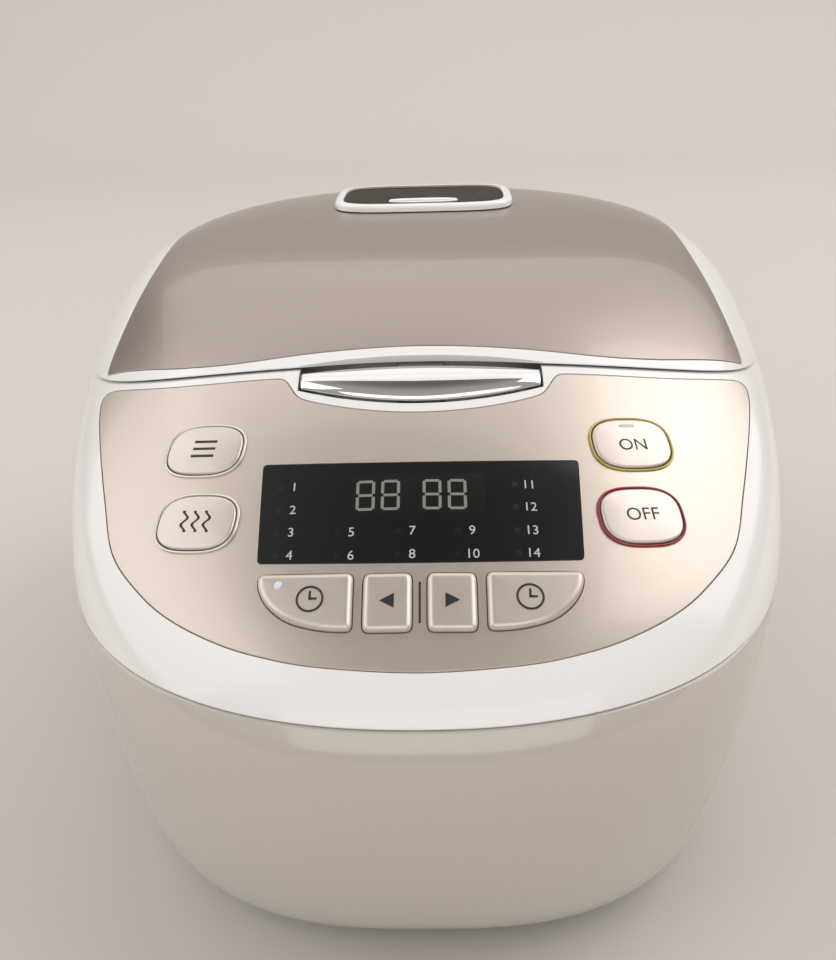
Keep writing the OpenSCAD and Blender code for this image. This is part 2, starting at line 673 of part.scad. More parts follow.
module cook_time_button() {
  color(silver) key(cook_at, leaf_edge, 0);
}

module left_button() {
  color(silver) key(left_at, arrow_edge, 0);
}

module right_button() {
  color(silver) key(right_at, arrow_edge, 0);
}

module trim_ring(q, turn) {
  at_key(q, turn) difference() {
    slab(grow(oval_edge, key_gap + 1.2), -1.2, 0.3);
    slab(grow(oval_edge, key_gap), -3, 3);
  }
}

module key_trims() {
  color([0.85, 0.85, 0.84]) {
    trim_ring(menu_at, -7);
    trim_ring(warm_at, -6.5);
  }
}

module start_trim() {
  color([0.78, 0.66, 0.3]) trim_ring(start_at, 7);
}

module off_trim() {
  color([0.62, 0.12, 0.16]) trim_ring(off_at, 6.5);
}

module start_lamp() {
  color([0.7, 0.7, 0.68]) at_key(start_at, 7) translate([-3, 6.3, 0.05]) cube([6, 2, key_rise]);
}

// ---- lid ----
function clip_back(p, w) = [p[0], min(p[1], lid_back - w), p[2]];

// elevation of the plan point q on the shell
function plan_el(q) = let (p = [q[0], q[1], roof(q[0], q[1])] - mid) atan2(p[2], norm([p[0], p[1]]));

module lid_frame() {
  w = 3.5;
  t = sheet_t + 0.35;
  color(white) one_mesh() difference() {
    band([for (q = lid_edge) let (az = atan2(q[1] - mid_y, q[0]))
      let (e1 = plan_el(q))
      let (e0 = line_el(az, 0, lid_gap / 2))
      let (f0 = line_el(az, w, lid_gap / 2))
      let (e2 = e1 + 3)
      concat([for (s = [0, 0.25, 0.5, 0.75, 1]) clip_back(shell(az, mix(e0, e1, s)), 0)],
        [shell(az, e1, t), shell(az, e2, t), shell(az, e2, t + 2)],
        [for (s = [0.9, 0.6, 0.3, 0]) clip_back(shell(az, mix(f0, e1, s), w + 0.7 * s), 3)])]);
    slab([[-45.6, -90], [45.6, -90], [45.6, -67], [44.4, -65], [30, -64.4], [0, -63.9], [-30, -64.4],
      [-44.4, -65], [-45.6, -67]], 150, 230);
    for (x = [-1, 1]) translate([x * 25 - 4, 150, 178]) cube([8, 30, 5]);
  }
}

module lid_panel() {
  color(silver) one_mesh() difference() {
    sheet(true, grow(lid_edge, -0.35), [0, 40], -sheet_t, 0, [0.3, 0.6, 0.8, 0.92, 1]);
    translate([0, cap_y, 0]) slab(oval(cap_w / 2 - 2.6, cap_d / 2 - 2.6, 5), 190, 240);
  }
}

// distance from the shell centre to the plug circle along an azimuth
function plug_at(az, r) =
  let (d = [cos(az), sin(az)])
  let (k = pan_y - mid_y)
  let (b = d[1] * k)
  b + sqrt(b * b - k * k + r * r);
function plug_pt(az, r, z, c) =
  let (q = plug_at(az, r))
  let (x = q * cos(az))
  let (y = q * sin(az) + mid_y)
  [x, y, z + c * lift(x, y)];

module lid_base() {
  w = 4.6;
  color(white) one_mesh() difference() {
    band([for (i = [0:71]) let (az = i * 5)
      let (a = clip_back(shell(az, line_el(az, w, 1), w), 3.5))
      let (b = clip_back(shell(az, line_el(az, w, 3), w), 3.5))
      [a, b, plug_pt(az, plug_r - 2.4, line_z + 3, 1), plug_pt(az, plug_r - 2.4, 176.6, 0), plug_pt(az,
        94, 176.6, 0),
        plug_pt(az, 94, 174.6, 0), plug_pt(az, plug_r, 174.6, 0), plug_pt(az, plug_r, line_z + 1, 1)]]);
  }
}

module lid_plate() {
  color(steel) translate([0, pan_y, 0]) difference() {
    translate([0, 0, 176.7]) cylinder(h = 1, r = plug_r - 3.5, $fn = 96);
    translate([0, cap_y - pan_y, 170]) cylinder(h = 20, r = 12, $fn = 48);
    translate([30, -20, 170]) cylinder(h = 20, r = 5.2, $fn = 48);
  }
}

module inner_lid() {
  color(alu) translate([0, pan_y, 0]) difference() {
    rotate_extrude($fn = 96) polygon([[0, 171.6], [88, 171.6], [92, 172.4], [102, 172.4], [102, 173.4],
      [91.6, 173.4],
      [87.6, 172.6], [0, 172.6]]);
    for (a = [0:45:315]) rotate([0, 0, a]) translate([8, 0, 160]) cylinder(h = 20, r = 1.5, $fn = 24);
    for (a = [0:60:300]) translate([0, cap_y - pan_y, 160]) rotate([0, 0, a]) translate([7, 0, 0])
      cylinder(h = 20, r = 1.8, $fn = 24);
  }
}

module lid_gasket() {
  color([0.55, 0.55, 0.55]) translate([0, pan_y, 0]) rotate_extrude($fn = 96)
    polygon([[102.1, 171.6], [105, 171.6], [106, 170.3], [108.2, 170.3], [108.2, 171.4], [107, 172.2],
      [107, 174.4],
      [100.5, 174.4], [100.5, 173.6], [102.1, 173.6]]);
}

module lid_heater() {
  color([0.7, 0.35, 0.25]) translate([0, pan_y, 0]) {
    rotate_extrude($fn = 96) translate([82, 179.5]) circle(r = 1.6, $fn = 24);
    rotate_extrude($fn = 96) translate([64, 179.5]) circle(r = 1.6, $fn = 24);
    translate([-2, -82, 178]) cube([4, 22, 3]);
  }
}

module lid_sensor() {
  color(dark) translate([30, pan_y - 20, 0]) {
    translate([0, 0, 173.8]) cylinder(h = 5.5, r = 5, $fn = 48);
    translate([0, 0, 179.2]) cylinder(h = 1.5, r = 8, $fn = 48);
  }
}

module lid_catch() {
  color(steel) side_bar([[-57.3, 178], [-56.2, 178], [-56.2, 187.5], [-60.2, 187.5], [-60.2, 186.2],
    [-57.3, 186.2]], -9, 9);
}

module steam_cap() {
  out = oval(cap_w / 2, cap_d / 2, 4.2);
  color(white) translate([0, cap_y, 0]) difference() {
    union() {
      slab(out, cap_top - 3, cap_top - 1);
      slab(grow(out, -0.8), cap_top - 1, cap_top);
      slab(oval(cap_w / 2 - 3.4, cap_d / 2 - 3.4, 5), cap_top - 18, cap_top - 2.8);
    }
    slab(grow(out, -4.2), cap_top - 1.8, cap_top + 1);
    slab(oval(cap_w / 2 - 5.4, cap_d / 2 - 5.4, 5), cap_top - 16, cap_top - 3.4);
    translate([0, 0, cap_top - 22]) cylinder(h = 10, r = 8, $fn = 48);
    translate([-15, -14.6, cap_top - 7]) cube([30, 2, 10]);
  }
  color(white) translate([0, cap_y - 13.6, 0]) difference() {
    slab(oval(17, 4.6, 2.6), cap_top - 2, cap_top - 0.2);
    translate([-15, -1, cap_top - 7]) cube([30, 2, 10]);
  }
}

module cap_insert() {
  color([0.2, 0.15, 0.13]) translate([0, cap_y, 0]) difference() {
    slab(grow(oval(cap_w / 2, cap_d / 2, 4.2), -4.4), cap_top - 1.75, cap_top - 0.5);
    translate([0, -13.6, 0]) slab(oval(17.2, 4.8, 2.6), cap_top - 7, cap_top + 8);
  }
}

module steam_valve() {
  color([0.6, 0.6, 0.6]) translate([0, cap_y, 0]) rotate_extrude($fn = 64)
    polygon([[6, 173.8], [11.5, 173.8], [11.5, 178.2], [15, 178.2], [15, 180], [11.5, 180],
      [11.5, cap_top - 26], [20, cap_top - 20], [20, cap_top - 18.4], [18, cap_top - 18.4],
      [9, cap_top - 25], [9, 178], [6, 175.6]]);
}

// ---- opening button and latch ----
module open_button() {
  color([0.85, 0.86, 0.88]) {
    one_mesh() sheet(true, button_edge, [0, -75.5], -3, 0.4, [0.5, 1]);
    side_bar([[-83, 181.5], [-78, 184.2], [-77.6, 172.3], [-80.2, 170.8]], -4, 4);
  }
}

module latch_hook() {
  color([0.8, 0.8, 0.78]) difference() {
    union() {
      side_bar([[-65.2, 176.5], [-61.2, 182], [-61.2, 187.8], [-57.6, 187.8], [-58.2, 189.5],
        [-63.6, 189.5], [-63.6, 183], [-69.6, 177.4]], 1.2, 8.2);
      side_bar([[-61.3, 185], [-61.3, 187.8], [-57.6, 187.8], [-58.2, 189.5], [-63.6, 189.5],
        [-63.6, 185]], -8.2, 8.2);
      translate([1.2, pin_y, pin_z]) rotate([0, 90, 0]) cylinder(h = 7, r = 3.4, $fn = 40);
      side_bar([[-67.4, 172.9], [-77.2, 167.3], [-79, 168.2], [-78.9, 170.1], [-69.1, 175.7]], 1.2, 8.2);
      side_bar([[-75.2, 168.5], [-77.2, 167.3], [-79, 168.2], [-78.9, 170.1], [-76.8, 171.3]], -4.2, 4.2);
    }
    translate([-20, pin_y, pin_z]) rotate([0, 90, 0]) cylinder(h = 40, r = pin_r + turn_gap, $fn = 40);
  }
}

module latch_spring() {
  color(steel) translate([-8.6, pin_y, pin_z]) rotate([0, 90, 0]) coil(2.6, 0.45, 8.6, 5, 12);
}

module latch_pin() {
  color(steel) translate([-13, pin_y, pin_z]) rotate([0, 90, 0]) cylinder(h = 26, r = pin_r, $fn = 40);
}

module latch_housing() {
  color(white) difference() {
    union() {
      translate([-40, -84, 169.1]) cube([80, 17.4, 1.8]);
      for (x = [-12.2, 9.6]) side_bar([[-75, 169.5], [-66.6, 169.5], [-66.6, 171], [-64.6, 172.6],
        [-64.6, 178], [-71.4, 178], [-75, 172]], x, x + 2.6);
      for (x = [-39.5, 37]) side_bar([[-84, 169.5], [-66.6, 169.5], [-66.6, 171], [-61, 175], [-61, 180],
        [-67.2, 180], [-84, 174]], x, x + 2.5);
      for (x = [-43.4, 11.5]) translate([x, -67.2, 179]) cube([31.9, 6.4, 1.6]);
      for (x = [-12.2, 11.4]) side_bar([[-67.2, 177], [-64.8, 177], [-64.8, 180.6], [-67.2, 180.6]],
        x, x + 0.8);
    }
    translate([-9.5, -84.5, 168]) cube([19, 16, 20]);
    translate([-20, pin_y, pin_z]) rotate([0, 90, 0]) cylinder(h = 40, r = pin_r + 0.02, $fn = 40);
  }
}

// ---- hinge ----
module hinge_shaft() {
  color(steel) translate([-40, hinge_y, hinge_z]) rotate([0, 90, 0]) cylinder(h = 80, r = shaft_r,
    $fn = 48);
}

module hinge_spring() {
  color(steel) {
    translate([-18, hinge_y, hinge_z]) rotate([0, 90, 0]) coil(4, 0.7, 36, 10, 12);
  }
}

module hinge_brackets() {
  color(steel) for (s = [-1, 1]) difference() {
    union() {
      translate([s * 33 - 1.5, hinge_y - 5, deck_z + deck_t + 0.05]) cube([3, 10, 8]);
      translate([s * 33 - 1.5, hinge_y, hinge_z]) rotate([0, 90, 0]) cylinder(h = 3, r = 5, $fn = 48);
      translate([s > 0 ? 33 : -40.5, hinge_y - 5, deck_z + deck_t + 0.05]) cube([7.5, 8, 1.6]);
    }
    translate([-50, hinge_y, hinge_z]) rotate([0, 90, 0]) cylinder(h = 100, r = shaft_r + 0.02, $fn = 48);
    translate([s * 37, 176, 160]) cylinder(h = 20, r = 1.5, $fn = 24);
  }
}

module hinge_arms() {
  color(steel) for (s = [-1, 1]) difference() {
    union() {
      translate([s * 25 - 3.5, hinge_y, hinge_z]) rotate([0, 90, 0]) cylinder(h = 7, r = 5.4, $fn = 48);
      translate([s * 25 - 3.5, 150, 178.5]) cube([7, hinge_y - 150, 3.9]);
    }
    translate([-50, hinge_y, hinge_z]) rotate([0, 90, 0]) cylinder(h = 100, r = shaft_r + turn_gap,
      $fn = 48);
  }
}

module dew_collector() {
  color([0.9, 0.9, 0.9]) difference() {
    side_bar([[171.5, 129], [173, 127], [186, 127], [188.1, 130], [188.1, 162], [186, 165],
      [171.5, 165]], -36.5, 36.5);
    translate([-34.3, 173.3, 129.2]) cube([68.6, 12.4, 50]);
  }
}

lower_body();
upper_ring();
bottom_cover();
rubber_feet();
screws();
hinge_cover();
power_inlet();
inlet_pins();
inner_deck();
well_rim();
well_liner();
inner_pan();
heating_plate();
centre_sensor();
sensor_spring();
sensor_bracket();
side_heater();
thermal_fuse();
wiring_harness();
power_board();
power_parts();
control_panel();
display_window();
display_module();
control_board();
tact_switches();
menu_button();
warm_button();
start_button();
off_button();
timer_button();
left_button();
right_button();
cook_time_button();
key_trims();
start_trim();
off_trim();
start_lamp();
lid_frame();
lid_panel();
lid_base();
lid_plate();
inner_lid();
lid_gasket();
lid_heater();
lid_sensor();
lid_catch();
steam_cap();
cap_insert();
steam_valve();
open_button();
latch_hook();
latch_spring();
latch_pin();
latch_housing();
hinge_shaft();
hinge_spring();
hinge_brackets();
hinge_arms();
dew_collector();
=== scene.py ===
import math

import bmesh
import bpy
import numpy as np
from mathutils import Matrix, Vector


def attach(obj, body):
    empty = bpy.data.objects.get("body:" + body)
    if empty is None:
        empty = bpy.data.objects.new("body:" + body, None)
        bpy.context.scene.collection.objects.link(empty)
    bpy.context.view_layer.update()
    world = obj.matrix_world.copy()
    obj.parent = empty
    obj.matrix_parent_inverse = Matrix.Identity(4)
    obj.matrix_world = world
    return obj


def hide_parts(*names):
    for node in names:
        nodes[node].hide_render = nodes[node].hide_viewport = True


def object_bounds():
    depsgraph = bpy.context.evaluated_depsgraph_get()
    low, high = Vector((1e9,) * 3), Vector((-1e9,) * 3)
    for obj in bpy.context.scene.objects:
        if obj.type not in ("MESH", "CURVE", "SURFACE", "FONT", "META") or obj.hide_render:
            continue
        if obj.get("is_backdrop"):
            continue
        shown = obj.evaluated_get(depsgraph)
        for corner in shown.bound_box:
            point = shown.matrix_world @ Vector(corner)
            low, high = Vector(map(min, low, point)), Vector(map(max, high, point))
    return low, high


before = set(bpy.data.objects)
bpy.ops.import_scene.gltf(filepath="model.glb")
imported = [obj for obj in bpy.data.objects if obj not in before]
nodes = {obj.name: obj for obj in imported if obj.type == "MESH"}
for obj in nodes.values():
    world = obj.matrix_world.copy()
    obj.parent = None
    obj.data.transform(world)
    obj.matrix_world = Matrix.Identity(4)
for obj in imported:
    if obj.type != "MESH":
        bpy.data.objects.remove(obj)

# Jar rice cooker. Lengths below are millimetres, scene units are metres.
mm = 0.001
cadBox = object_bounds()
scene = bpy.context.scene

shellShape = dict(
    halfWidth=140.0, reachFront=180.1, reachBack=193.0, midY=-10.4, midZ=127.5, squareFront=2.4,
    squareBack=2.38, squareLow=1.23, roundLow=1.8, roundTop=8.3, dropLow=268.6, riseTop=91.2,
    panelAngle=29.86, panelDepth=90.9, panelCurve=568.0, topAngle=21.9, topDepth=86.4, topCurveX=390.0,
    topCurveY=837.0, blend=12.0, wall=3.3, baseZ=8.0, seamZ=122.0, seamGap=0.3, turns=288)
lidShape = dict(lineZ=175.0, lineRise=16.9, gap=0.8, backY=167.5, hub=(0.0, 40.0))
middle = np.array([0.0, shellShape["midY"], shellShape["midZ"]])


# the rule that gives the whole shell, 1 on its surface
def gauge(p):
    s = shellShape
    x, y, z = p[..., 0], p[..., 1], p[..., 2]
    low = z < 0
    reach = np.where(y < 0, s["reachFront"], s["reachBack"])
    n = np.where(y < 0, s["squareFront"], s["squareBack"])
    n = n + np.where(low, s["squareLow"] * z * z / (x * x + y * y + z * z + 1e-9), 0)
    h = (np.abs(x / s["halfWidth"]) ** n + np.abs(y / reach) ** n + 1e-30) ** (1 / n)
    q = np.where(low, s["roundLow"], s["roundTop"])
    tall = np.where(low, s["dropLow"], s["riseTop"])
    side = (h ** q + np.abs(z / tall) ** q) ** (1 / q)
    a = math.radians(s["panelAngle"])
    zf = -y * math.sin(a) + z * math.cos(a)
    front = (zf + np.sqrt(zf * zf + 2 * s["panelDepth"] * x * x / s["panelCurve"])) / (2 * s["panelDepth"])
    a = math.radians(s["topAngle"])
    zt = -y * math.sin(a) + z * math.cos(a)
    yt = y * math.cos(a) + z * math.sin(a)
    bow = x * x / s["topCurveX"] + yt * yt / s["topCurveY"]
    top = (zt + np.sqrt(zt * zt + 2 * s["topDepth"] * bow)) / (2 * s["topDepth"])
    k = s["blend"]
    total = side ** k + np.maximum(front, 0) ** k + np.maximum(top, 0) ** k
    return (total + np.maximum(-z / s["midZ"], 0) ** k) ** (1 / k)


def shellPoint(az, el, w):
    az, el = np.radians(az), np.radians(el)
    d = np.stack([np.cos(el) * np.cos(az), np.cos(el) * np.sin(az), np.sin(el) + 0 * az], -1)
    return middle + (1 / gauge(d) - w)[..., None] * d


def shellNormal(p):
    q = p - middle
    g = np.stack([gauge(q + 0.05 * e) - gauge(q - 0.05 * e) for e in np.eye(3)], -1)
    return g / np.linalg.norm(g, axis=-1, keepdims=True)


def halve(inside, lo, hi):
    for _ in range(30):
        mid = (lo + hi) / 2
        good = inside(mid)
        lo, hi = np.where(good, mid, lo), np.where(good, hi, mid)
    return (lo + hi) / 2


def lift(x, y):
    return (lidShape["lineRise"] - 0.00077 * x * x) * np.clip((40 - y) / 107, 0, 1)


def elevationAt(az, w, z, follow):
    def below(e):
        p = shellPoint(az, e, w)
        return p[..., 2] < z + follow * lift(p[..., 0], p[..., 1])
    return halve(below, np.full(len(az), -75.0), np.full(len(az), 89.0))


def lineElevation(az, w, z):
    return elevationAt(az, w, lidShape["lineZ"] + z, 1.0)


def roof(q):
    def inside(h):
        return gauge(np.stack([q[:, 0], q[:, 1] - shellShape["midY"], h], -1)) < 1
    return shellShape["midZ"] + halve(inside, np.zeros(len(q)), np.full(len(q), 110.0))


def lidPoint(q, w):
    p = np.column_stack([q[:, 0], q[:, 1], roof(q)])
    d = p - middle
    return p + d / np.linalg.norm(d, axis=1, keepdims=True) * w


panelOrigin = np.array([0.0, -121.0, 164.3])
panelTilt = math.radians(shellShape["panelAngle"])
panelHub = (0, -34)
panelSlope = Matrix.Translation(panelOrigin) @ Matrix.Rotation(panelTilt, 4, "X")
panelUp = np.array([0.0, math.cos(panelTilt), math.sin(panelTilt)])
panelOut = np.array([0.0, -math.sin(panelTilt), math.cos(panelTilt)])


def panelPlane(u, v, w):
    return panelOrigin + np.stack([u, 0 * u, 0 * u], -1) + v[..., None] * panelUp + w[..., None] * panelOut


def panelHeight(u, v):
    u, v = np.atleast_1d(np.asarray(u, float)), np.atleast_1d(np.asarray(v, float))
    lo, hi = np.full(len(u), -70.0), np.full(len(u), 12.0)
    return halve(lambda w: gauge(panelPlane(u, v, w) - middle) < 1, lo, hi)


def panelPoint(q, w):
    return panelPlane(q[:, 0], q[:, 1], panelHeight(q[:, 0], q[:, 1]) + w)


def panelFrame(u, v, turn=0.0):
    du = math.atan(float(panelHeight(u + 6, v)[0] - panelHeight(u - 6, v)[0]) / 12)
    dv = math.atan(float(panelHeight(u, v + 6)[0] - panelHeight(u, v - 6)[0]) / 12)
    place = Vector(panelPoint(np.array([[u, v]], float), 0.0)[0])
    return (Matrix.Translation(place) @ Matrix.Rotation(panelTilt + dv, 4, "X")
            @ Matrix.Rotation(-du, 4, "Y") @ Matrix.Rotation(math.radians(turn), 4, "Z"))


# outlines
def spline(points, n):
    p = np.array(points, float)
    out = []
    for i in range(1, len(p) - 2):
        a, b, c, d = p[i - 1], p[i], p[i + 1], p[i + 2]
        for k in range(n):
            t = k / n
            out.append(0.5 * (2 * b + (c - a) * t + (2 * a - 5 * b + 4 * c - d) * t * t
                              + (3 * b - a - 3 * c + d) * t ** 3))
    return np.array(out)


def mirrored(p):
    return p[::-1] * [-1, 1]


def grow(p, d):
    a = p - np.roll(p, 1, 0)
    b = np.roll(p, -1, 0) - p
    a = a / np.linalg.norm(a, axis=1, keepdims=True)
    b = b / np.linalg.norm(b, axis=1, keepdims=True)
    m = a + b
    m = m / np.linalg.norm(m, axis=1, keepdims=True)
    reach = np.maximum(0.6, (m * a).sum(1))
    return p + np.column_stack([m[:, 1], -m[:, 0]]) * (d / reach)[:, None]


def evenly(p, count):
    closed = np.vstack([p, p[:1]])
    run = np.concatenate([[0], np.cumsum(np.linalg.norm(np.diff(closed, axis=0), axis=1))])
    s = np.linspace(0, run[-1], count, endpoint=False)
    return np.column_stack([np.interp(s, run, closed[:, i]) for i in (0, 1)])


def roundOff(p, passes):
    for _ in range(passes):
        p = (np.roll(p, 1, 0) + 2 * p + np.roll(p, -1, 0)) / 4
    return p


def oval(a, b, n, count=96):
    t = np.arange(count) * 2 * math.pi / count
    c, s = np.cos(t), np.sin(t)
    return np.column_stack([a * np.sign(c) * np.abs(c) ** (2 / n), b * np.sign(s) * np.abs(s) ** (2 / n)])


def closedHalf(half, centre):
    return np.vstack([half, [centre], mirrored(half)[:-1]])


def panelOutline():
    arc = np.arange(39, 0, -2.0)
    half = np.vstack([
        spline([[-30, -54.7], [0, -57], [30, -54.7], [49, -50.4], [64, -44.6], [79.5, -35.6], [91.5, -25],
                [103.5, -9.5], [110.5, 12], [118.3, 39], [122.4, 56], [123, 66]], 9),
        [[122.4, 56], [122.9, 61.5], [122.1, 64.3], [119.4, 64.9]],
        spline([[122, 66], [112, 63], [96, 59.7], [80, 58], [64, 57.1], [50.6, 56.5], [40, 56.3]], 6),
        [[50.6, 56.5], [49.2, 56.1], [48.4, 55], [44.4, 47.6], [43.2, 46.3]],
        np.column_stack([arc, 37.4 + 0.0046 * arc * arc])])
    return roundOff(evenly(closedHalf(half, [0, 37.4]), 560), 4)


def openOutline():
    half = np.array([[30, -48.7], [49, -44.4], [62, -38.8], [75, -31], [86, -21], [97, -7], [104, 13.5],
                     [111, 40], [114, 53], [110, 57], [96, 53.8], [80, 52], [64, 51], [53, 50.4], [47.5, 43],
                     [44.5, 39.6], [22, 33.2]], float)
    return np.vstack([[[0, -51]], half, [[0, 31.2]], mirrored(half)])


def lidOutline():
    half = spline([[-35, -60], [0, -59.7], [35, -60], [66, -59.6], [88, -56.2], [106, -50.6], [119.6, -45.4],
                   [123.9, -43.3], [124.6, -38.5], [123.6, -26], [121.4, -6], [118.9, 14.7], [117.4, 36],
                   [116.4, 60], [113, 86], [103.5, 113], [86, 136], [60, 151], [30, 158], [0, 159.8],
                   [-30, 158]], 10)
    return closedHalf(half, [0, 159.8])


def displayOutline(shrink):
    x = np.linspace(-51.6, 51.6, 49)
    bow = 0.0007 * x * x
    edge = np.vstack([np.column_stack([x, -21.9 + bow]), np.column_stack([-x * 1.03, 16.1 + bow])])
    return grow(roundOff(evenly(edge, 300), 2), -shrink)


leafEdge = evenly(roundOff(evenly(np.vstack([
    [[-14.9, 8.6], [-15, -9.4]],
    spline([[-20, -9.5], [-14.2, -10], [-5, -9.2], [4.5, -6.4], [11, -1.6], [14.6, 4], [15.4, 9], [14, 14]],
           8),
    [[15.3, 9.3], [14.6, 10.1], [0, 9.6], [-14.2, 9.2]]]), 160), 6), 112)
arrowEdge = oval(7.6, 9.7, 9)
ovalEdge = oval(13.65, 10.15, 2.8, 112)


# mesh builders
def linked(name, data):
    obj = bpy.data.objects.new(name, data)
    scene.collection.objects.link(obj)
    return obj


def newMesh(name, verts, edges, faces, *materials):
    mesh = bpy.data.meshes.new(name)
    mesh.from_pydata(verts, edges, faces)
    for material in materials:
        mesh.materials.append(material)
    return mesh


def inScene(points):
    return [tuple(p) for p in np.asarray(points) * mm]


def newObject(name, verts, faces, material):
    return linked(name, newMesh(name, inScene(verts), [], faces, finish[material]))


def repaint(mesh, material):
    mesh.materials.clear()
    mesh.materials.append(material)


# merges doubled points and turns the faces outwards
def tidyNormals(obj):
    bm = bmesh.new()
    bm.from_mesh(obj.data)
    bmesh.ops.remove_doubles(bm, verts=bm.verts, dist=1e-6)
    bmesh.ops.recalc_face_normals(bm, faces=bm.faces)
    bm.to_mesh(obj.data)
    bm.free()
    return obj


# rows are loops of equal length; closed joins the last to the first, poles end it in two points
def loft(name, rows, material, closed=False, poles=None):
    n, m = len(rows), len(rows[0])
    faces = []
    for r in range(n if closed else n - 1):
        a, b = r * m, ((r + 1) % n) * m
        faces += [(a + j, a + (j + 1) % m, b + (j + 1) % m, b + j) for j in range(m)]
    verts = np.vstack(rows)
    if poles is not None:
        verts = np.vstack([verts, poles])
        last = (n - 1) * m
        faces += [(n * m, (j + 1) % m, j) for j in range(m)]
        faces += [(n * m + 1, last + j, last + (j + 1) % m) for j in range(m)]
    return tidyNormals(newObject(name, verts, faces, material))


def bake(obj, material=None):
    deps = bpy.context.evaluated_depsgraph_get()
    mesh = bpy.data.meshes.new_from_object(obj.evaluated_get(deps), depsgraph=deps)
    obj.modifiers.clear()
    obj.data = mesh
    repaint(mesh, material or mesh.materials[0])
    mesh.polygons.foreach_set("material_index", np.zeros(len(mesh.polygons), np.int32))
    return obj


def cut(obj, *cutters):
    for c in cutters:
        change = obj.modifiers.new("cut", "BOOLEAN")
        change.operation, change.solver, change.object = "DIFFERENCE", "MANIFOLD", c
    bake(obj)
    for c in cutters:
        bpy.data.objects.remove(c)
    return obj


def joined(*objs):
    verts, faces = [], []
    for o in objs:
        start = len(verts)
        verts += [tuple(v.co) for v in o.data.vertices]
        faces += [tuple(start + i for i in p.vertices) for p in o.data.polygons]
    name = objs[0].name
    mesh = newMesh(name, verts, [], faces, *objs[0].data.materials)
    for o in objs:
        bpy.data.objects.remove(o)
    return linked(name, mesh)


def flatRow(outline, z):
    return np.column_stack([outline, np.full(len(outline), z)])


def layers(*pairs):
    return [flatRow(outline, z) for outline, z in pairs]


# a matrix in millimetres, for a mesh in metres
def inMetres(matrix):
    return Matrix.Scale(mm, 4) @ matrix @ Matrix.Scale(1 / mm, 4)


# two loops joined by a wall, with a lid on each
def capped(name, low, high, material, matrix=None):
    n = len(low)
    faces = [(j, (j + 1) % n, n + (j + 1) % n, n + j) for j in range(n)]
    faces += [tuple(range(n))[::-1], tuple(range(n, 2 * n))]
    obj = newObject(name, np.vstack([low, high]), faces, material)
    if matrix is not None:
        obj.data.transform(inMetres(matrix))
    return tidyNormals(obj)


def prism(name, outline, lo, hi, material, matrix=None):
    p = np.asarray(outline, float)
    return capped(name, flatRow(p, lo), flatRow(p, hi), material, matrix)


def box(x0, y0, x1, y1):
    return [[x0, y0], [x1, y0], [x1, y1], [x0, y1]]


def block(name, lo, hi, material, matrix=None):
    return prism(name, box(*lo[:2], *hi[:2]), lo[2], hi[2], material, matrix)


def smoothByAngle(obj, degrees):
    obj.data.shade_smooth()
    obj.data.set_sharp_from_angle(angle=math.radians(degrees))
    return obj


def readAll(items, field, width=3):
    values = np.empty(len(items) * width, np.int32 if width == 1 else float)
    items.foreach_get(field, values)
    return values if width == 1 else values.reshape(-1, width)


# the shell's own slope lights the outer faces, so that cuts leave no dents in the shine
def smoothByRule(obj, near=0.92):
    mesh = smoothByAngle(obj, 38).data
    at, corner = readAll(mesh.loops, "vertex_index", 1), readAll(mesh.corner_normals, "vector")
    face = np.repeat(readAll(mesh.polygons, "normal"), readAll(mesh.polygons, "loop_total", 1), axis=0)
    exact = shellNormal(readAll(mesh.vertices, "co") / mm)[at]
    outer = (face * exact).sum(1) > near
    corner[outer] = exact[outer]
    mesh.normals_split_custom_set(corner.tolist())
    return obj


# pairs (inset, drop) of a rounded edge, from the wall up to the face
def rounding(r, steps=4):
    t = np.radians(np.linspace(0, 90, steps + 1))
    return [(r * (1 - math.cos(a)), r * (1 - math.sin(a))) for a in t]


# the rounded rim of a piece with a flat top
def roundedTop(edge, top, r, steps):
    return [flatRow(grow(edge, -i), top - d) for i, d in rounding(r, steps)]


# a plate that follows the shell inside an outline, with a rounded rim; sheet is its lower and upper face
def sheetPiece(name, edge, size, point, material):
    hub, (lo, hi), r = np.array([size["hub"]], float), size["sheet"], size["edge"]
    inner = grow(edge, -r)
    rows = [point(hub + (edge - hub) * f, lo) for f in (0.35, 0.7, 1.0)]
    rows += [point(grow(edge, -i), hi - d) for i, d in rounding(r)]
    rows += [point(hub + (inner - hub) * f, hi) for f in np.linspace(0, 1, size["rings"] + 1)[-2:0:-1]]
    return loft(name, rows, material, poles=np.vstack([point(hub, lo), point(hub, hi)]))


print("helpers ready")


# finishes
def linear(*colour):
    parts = (c / 255 for c in colour)
    return tuple(c / 12.92 if c <= 0.04045 else ((c + 0.055) / 1.055) ** 2.4 for c in parts) + (1.0,)


def tone(*colour, **how):
    return dict(how, colour=colour)


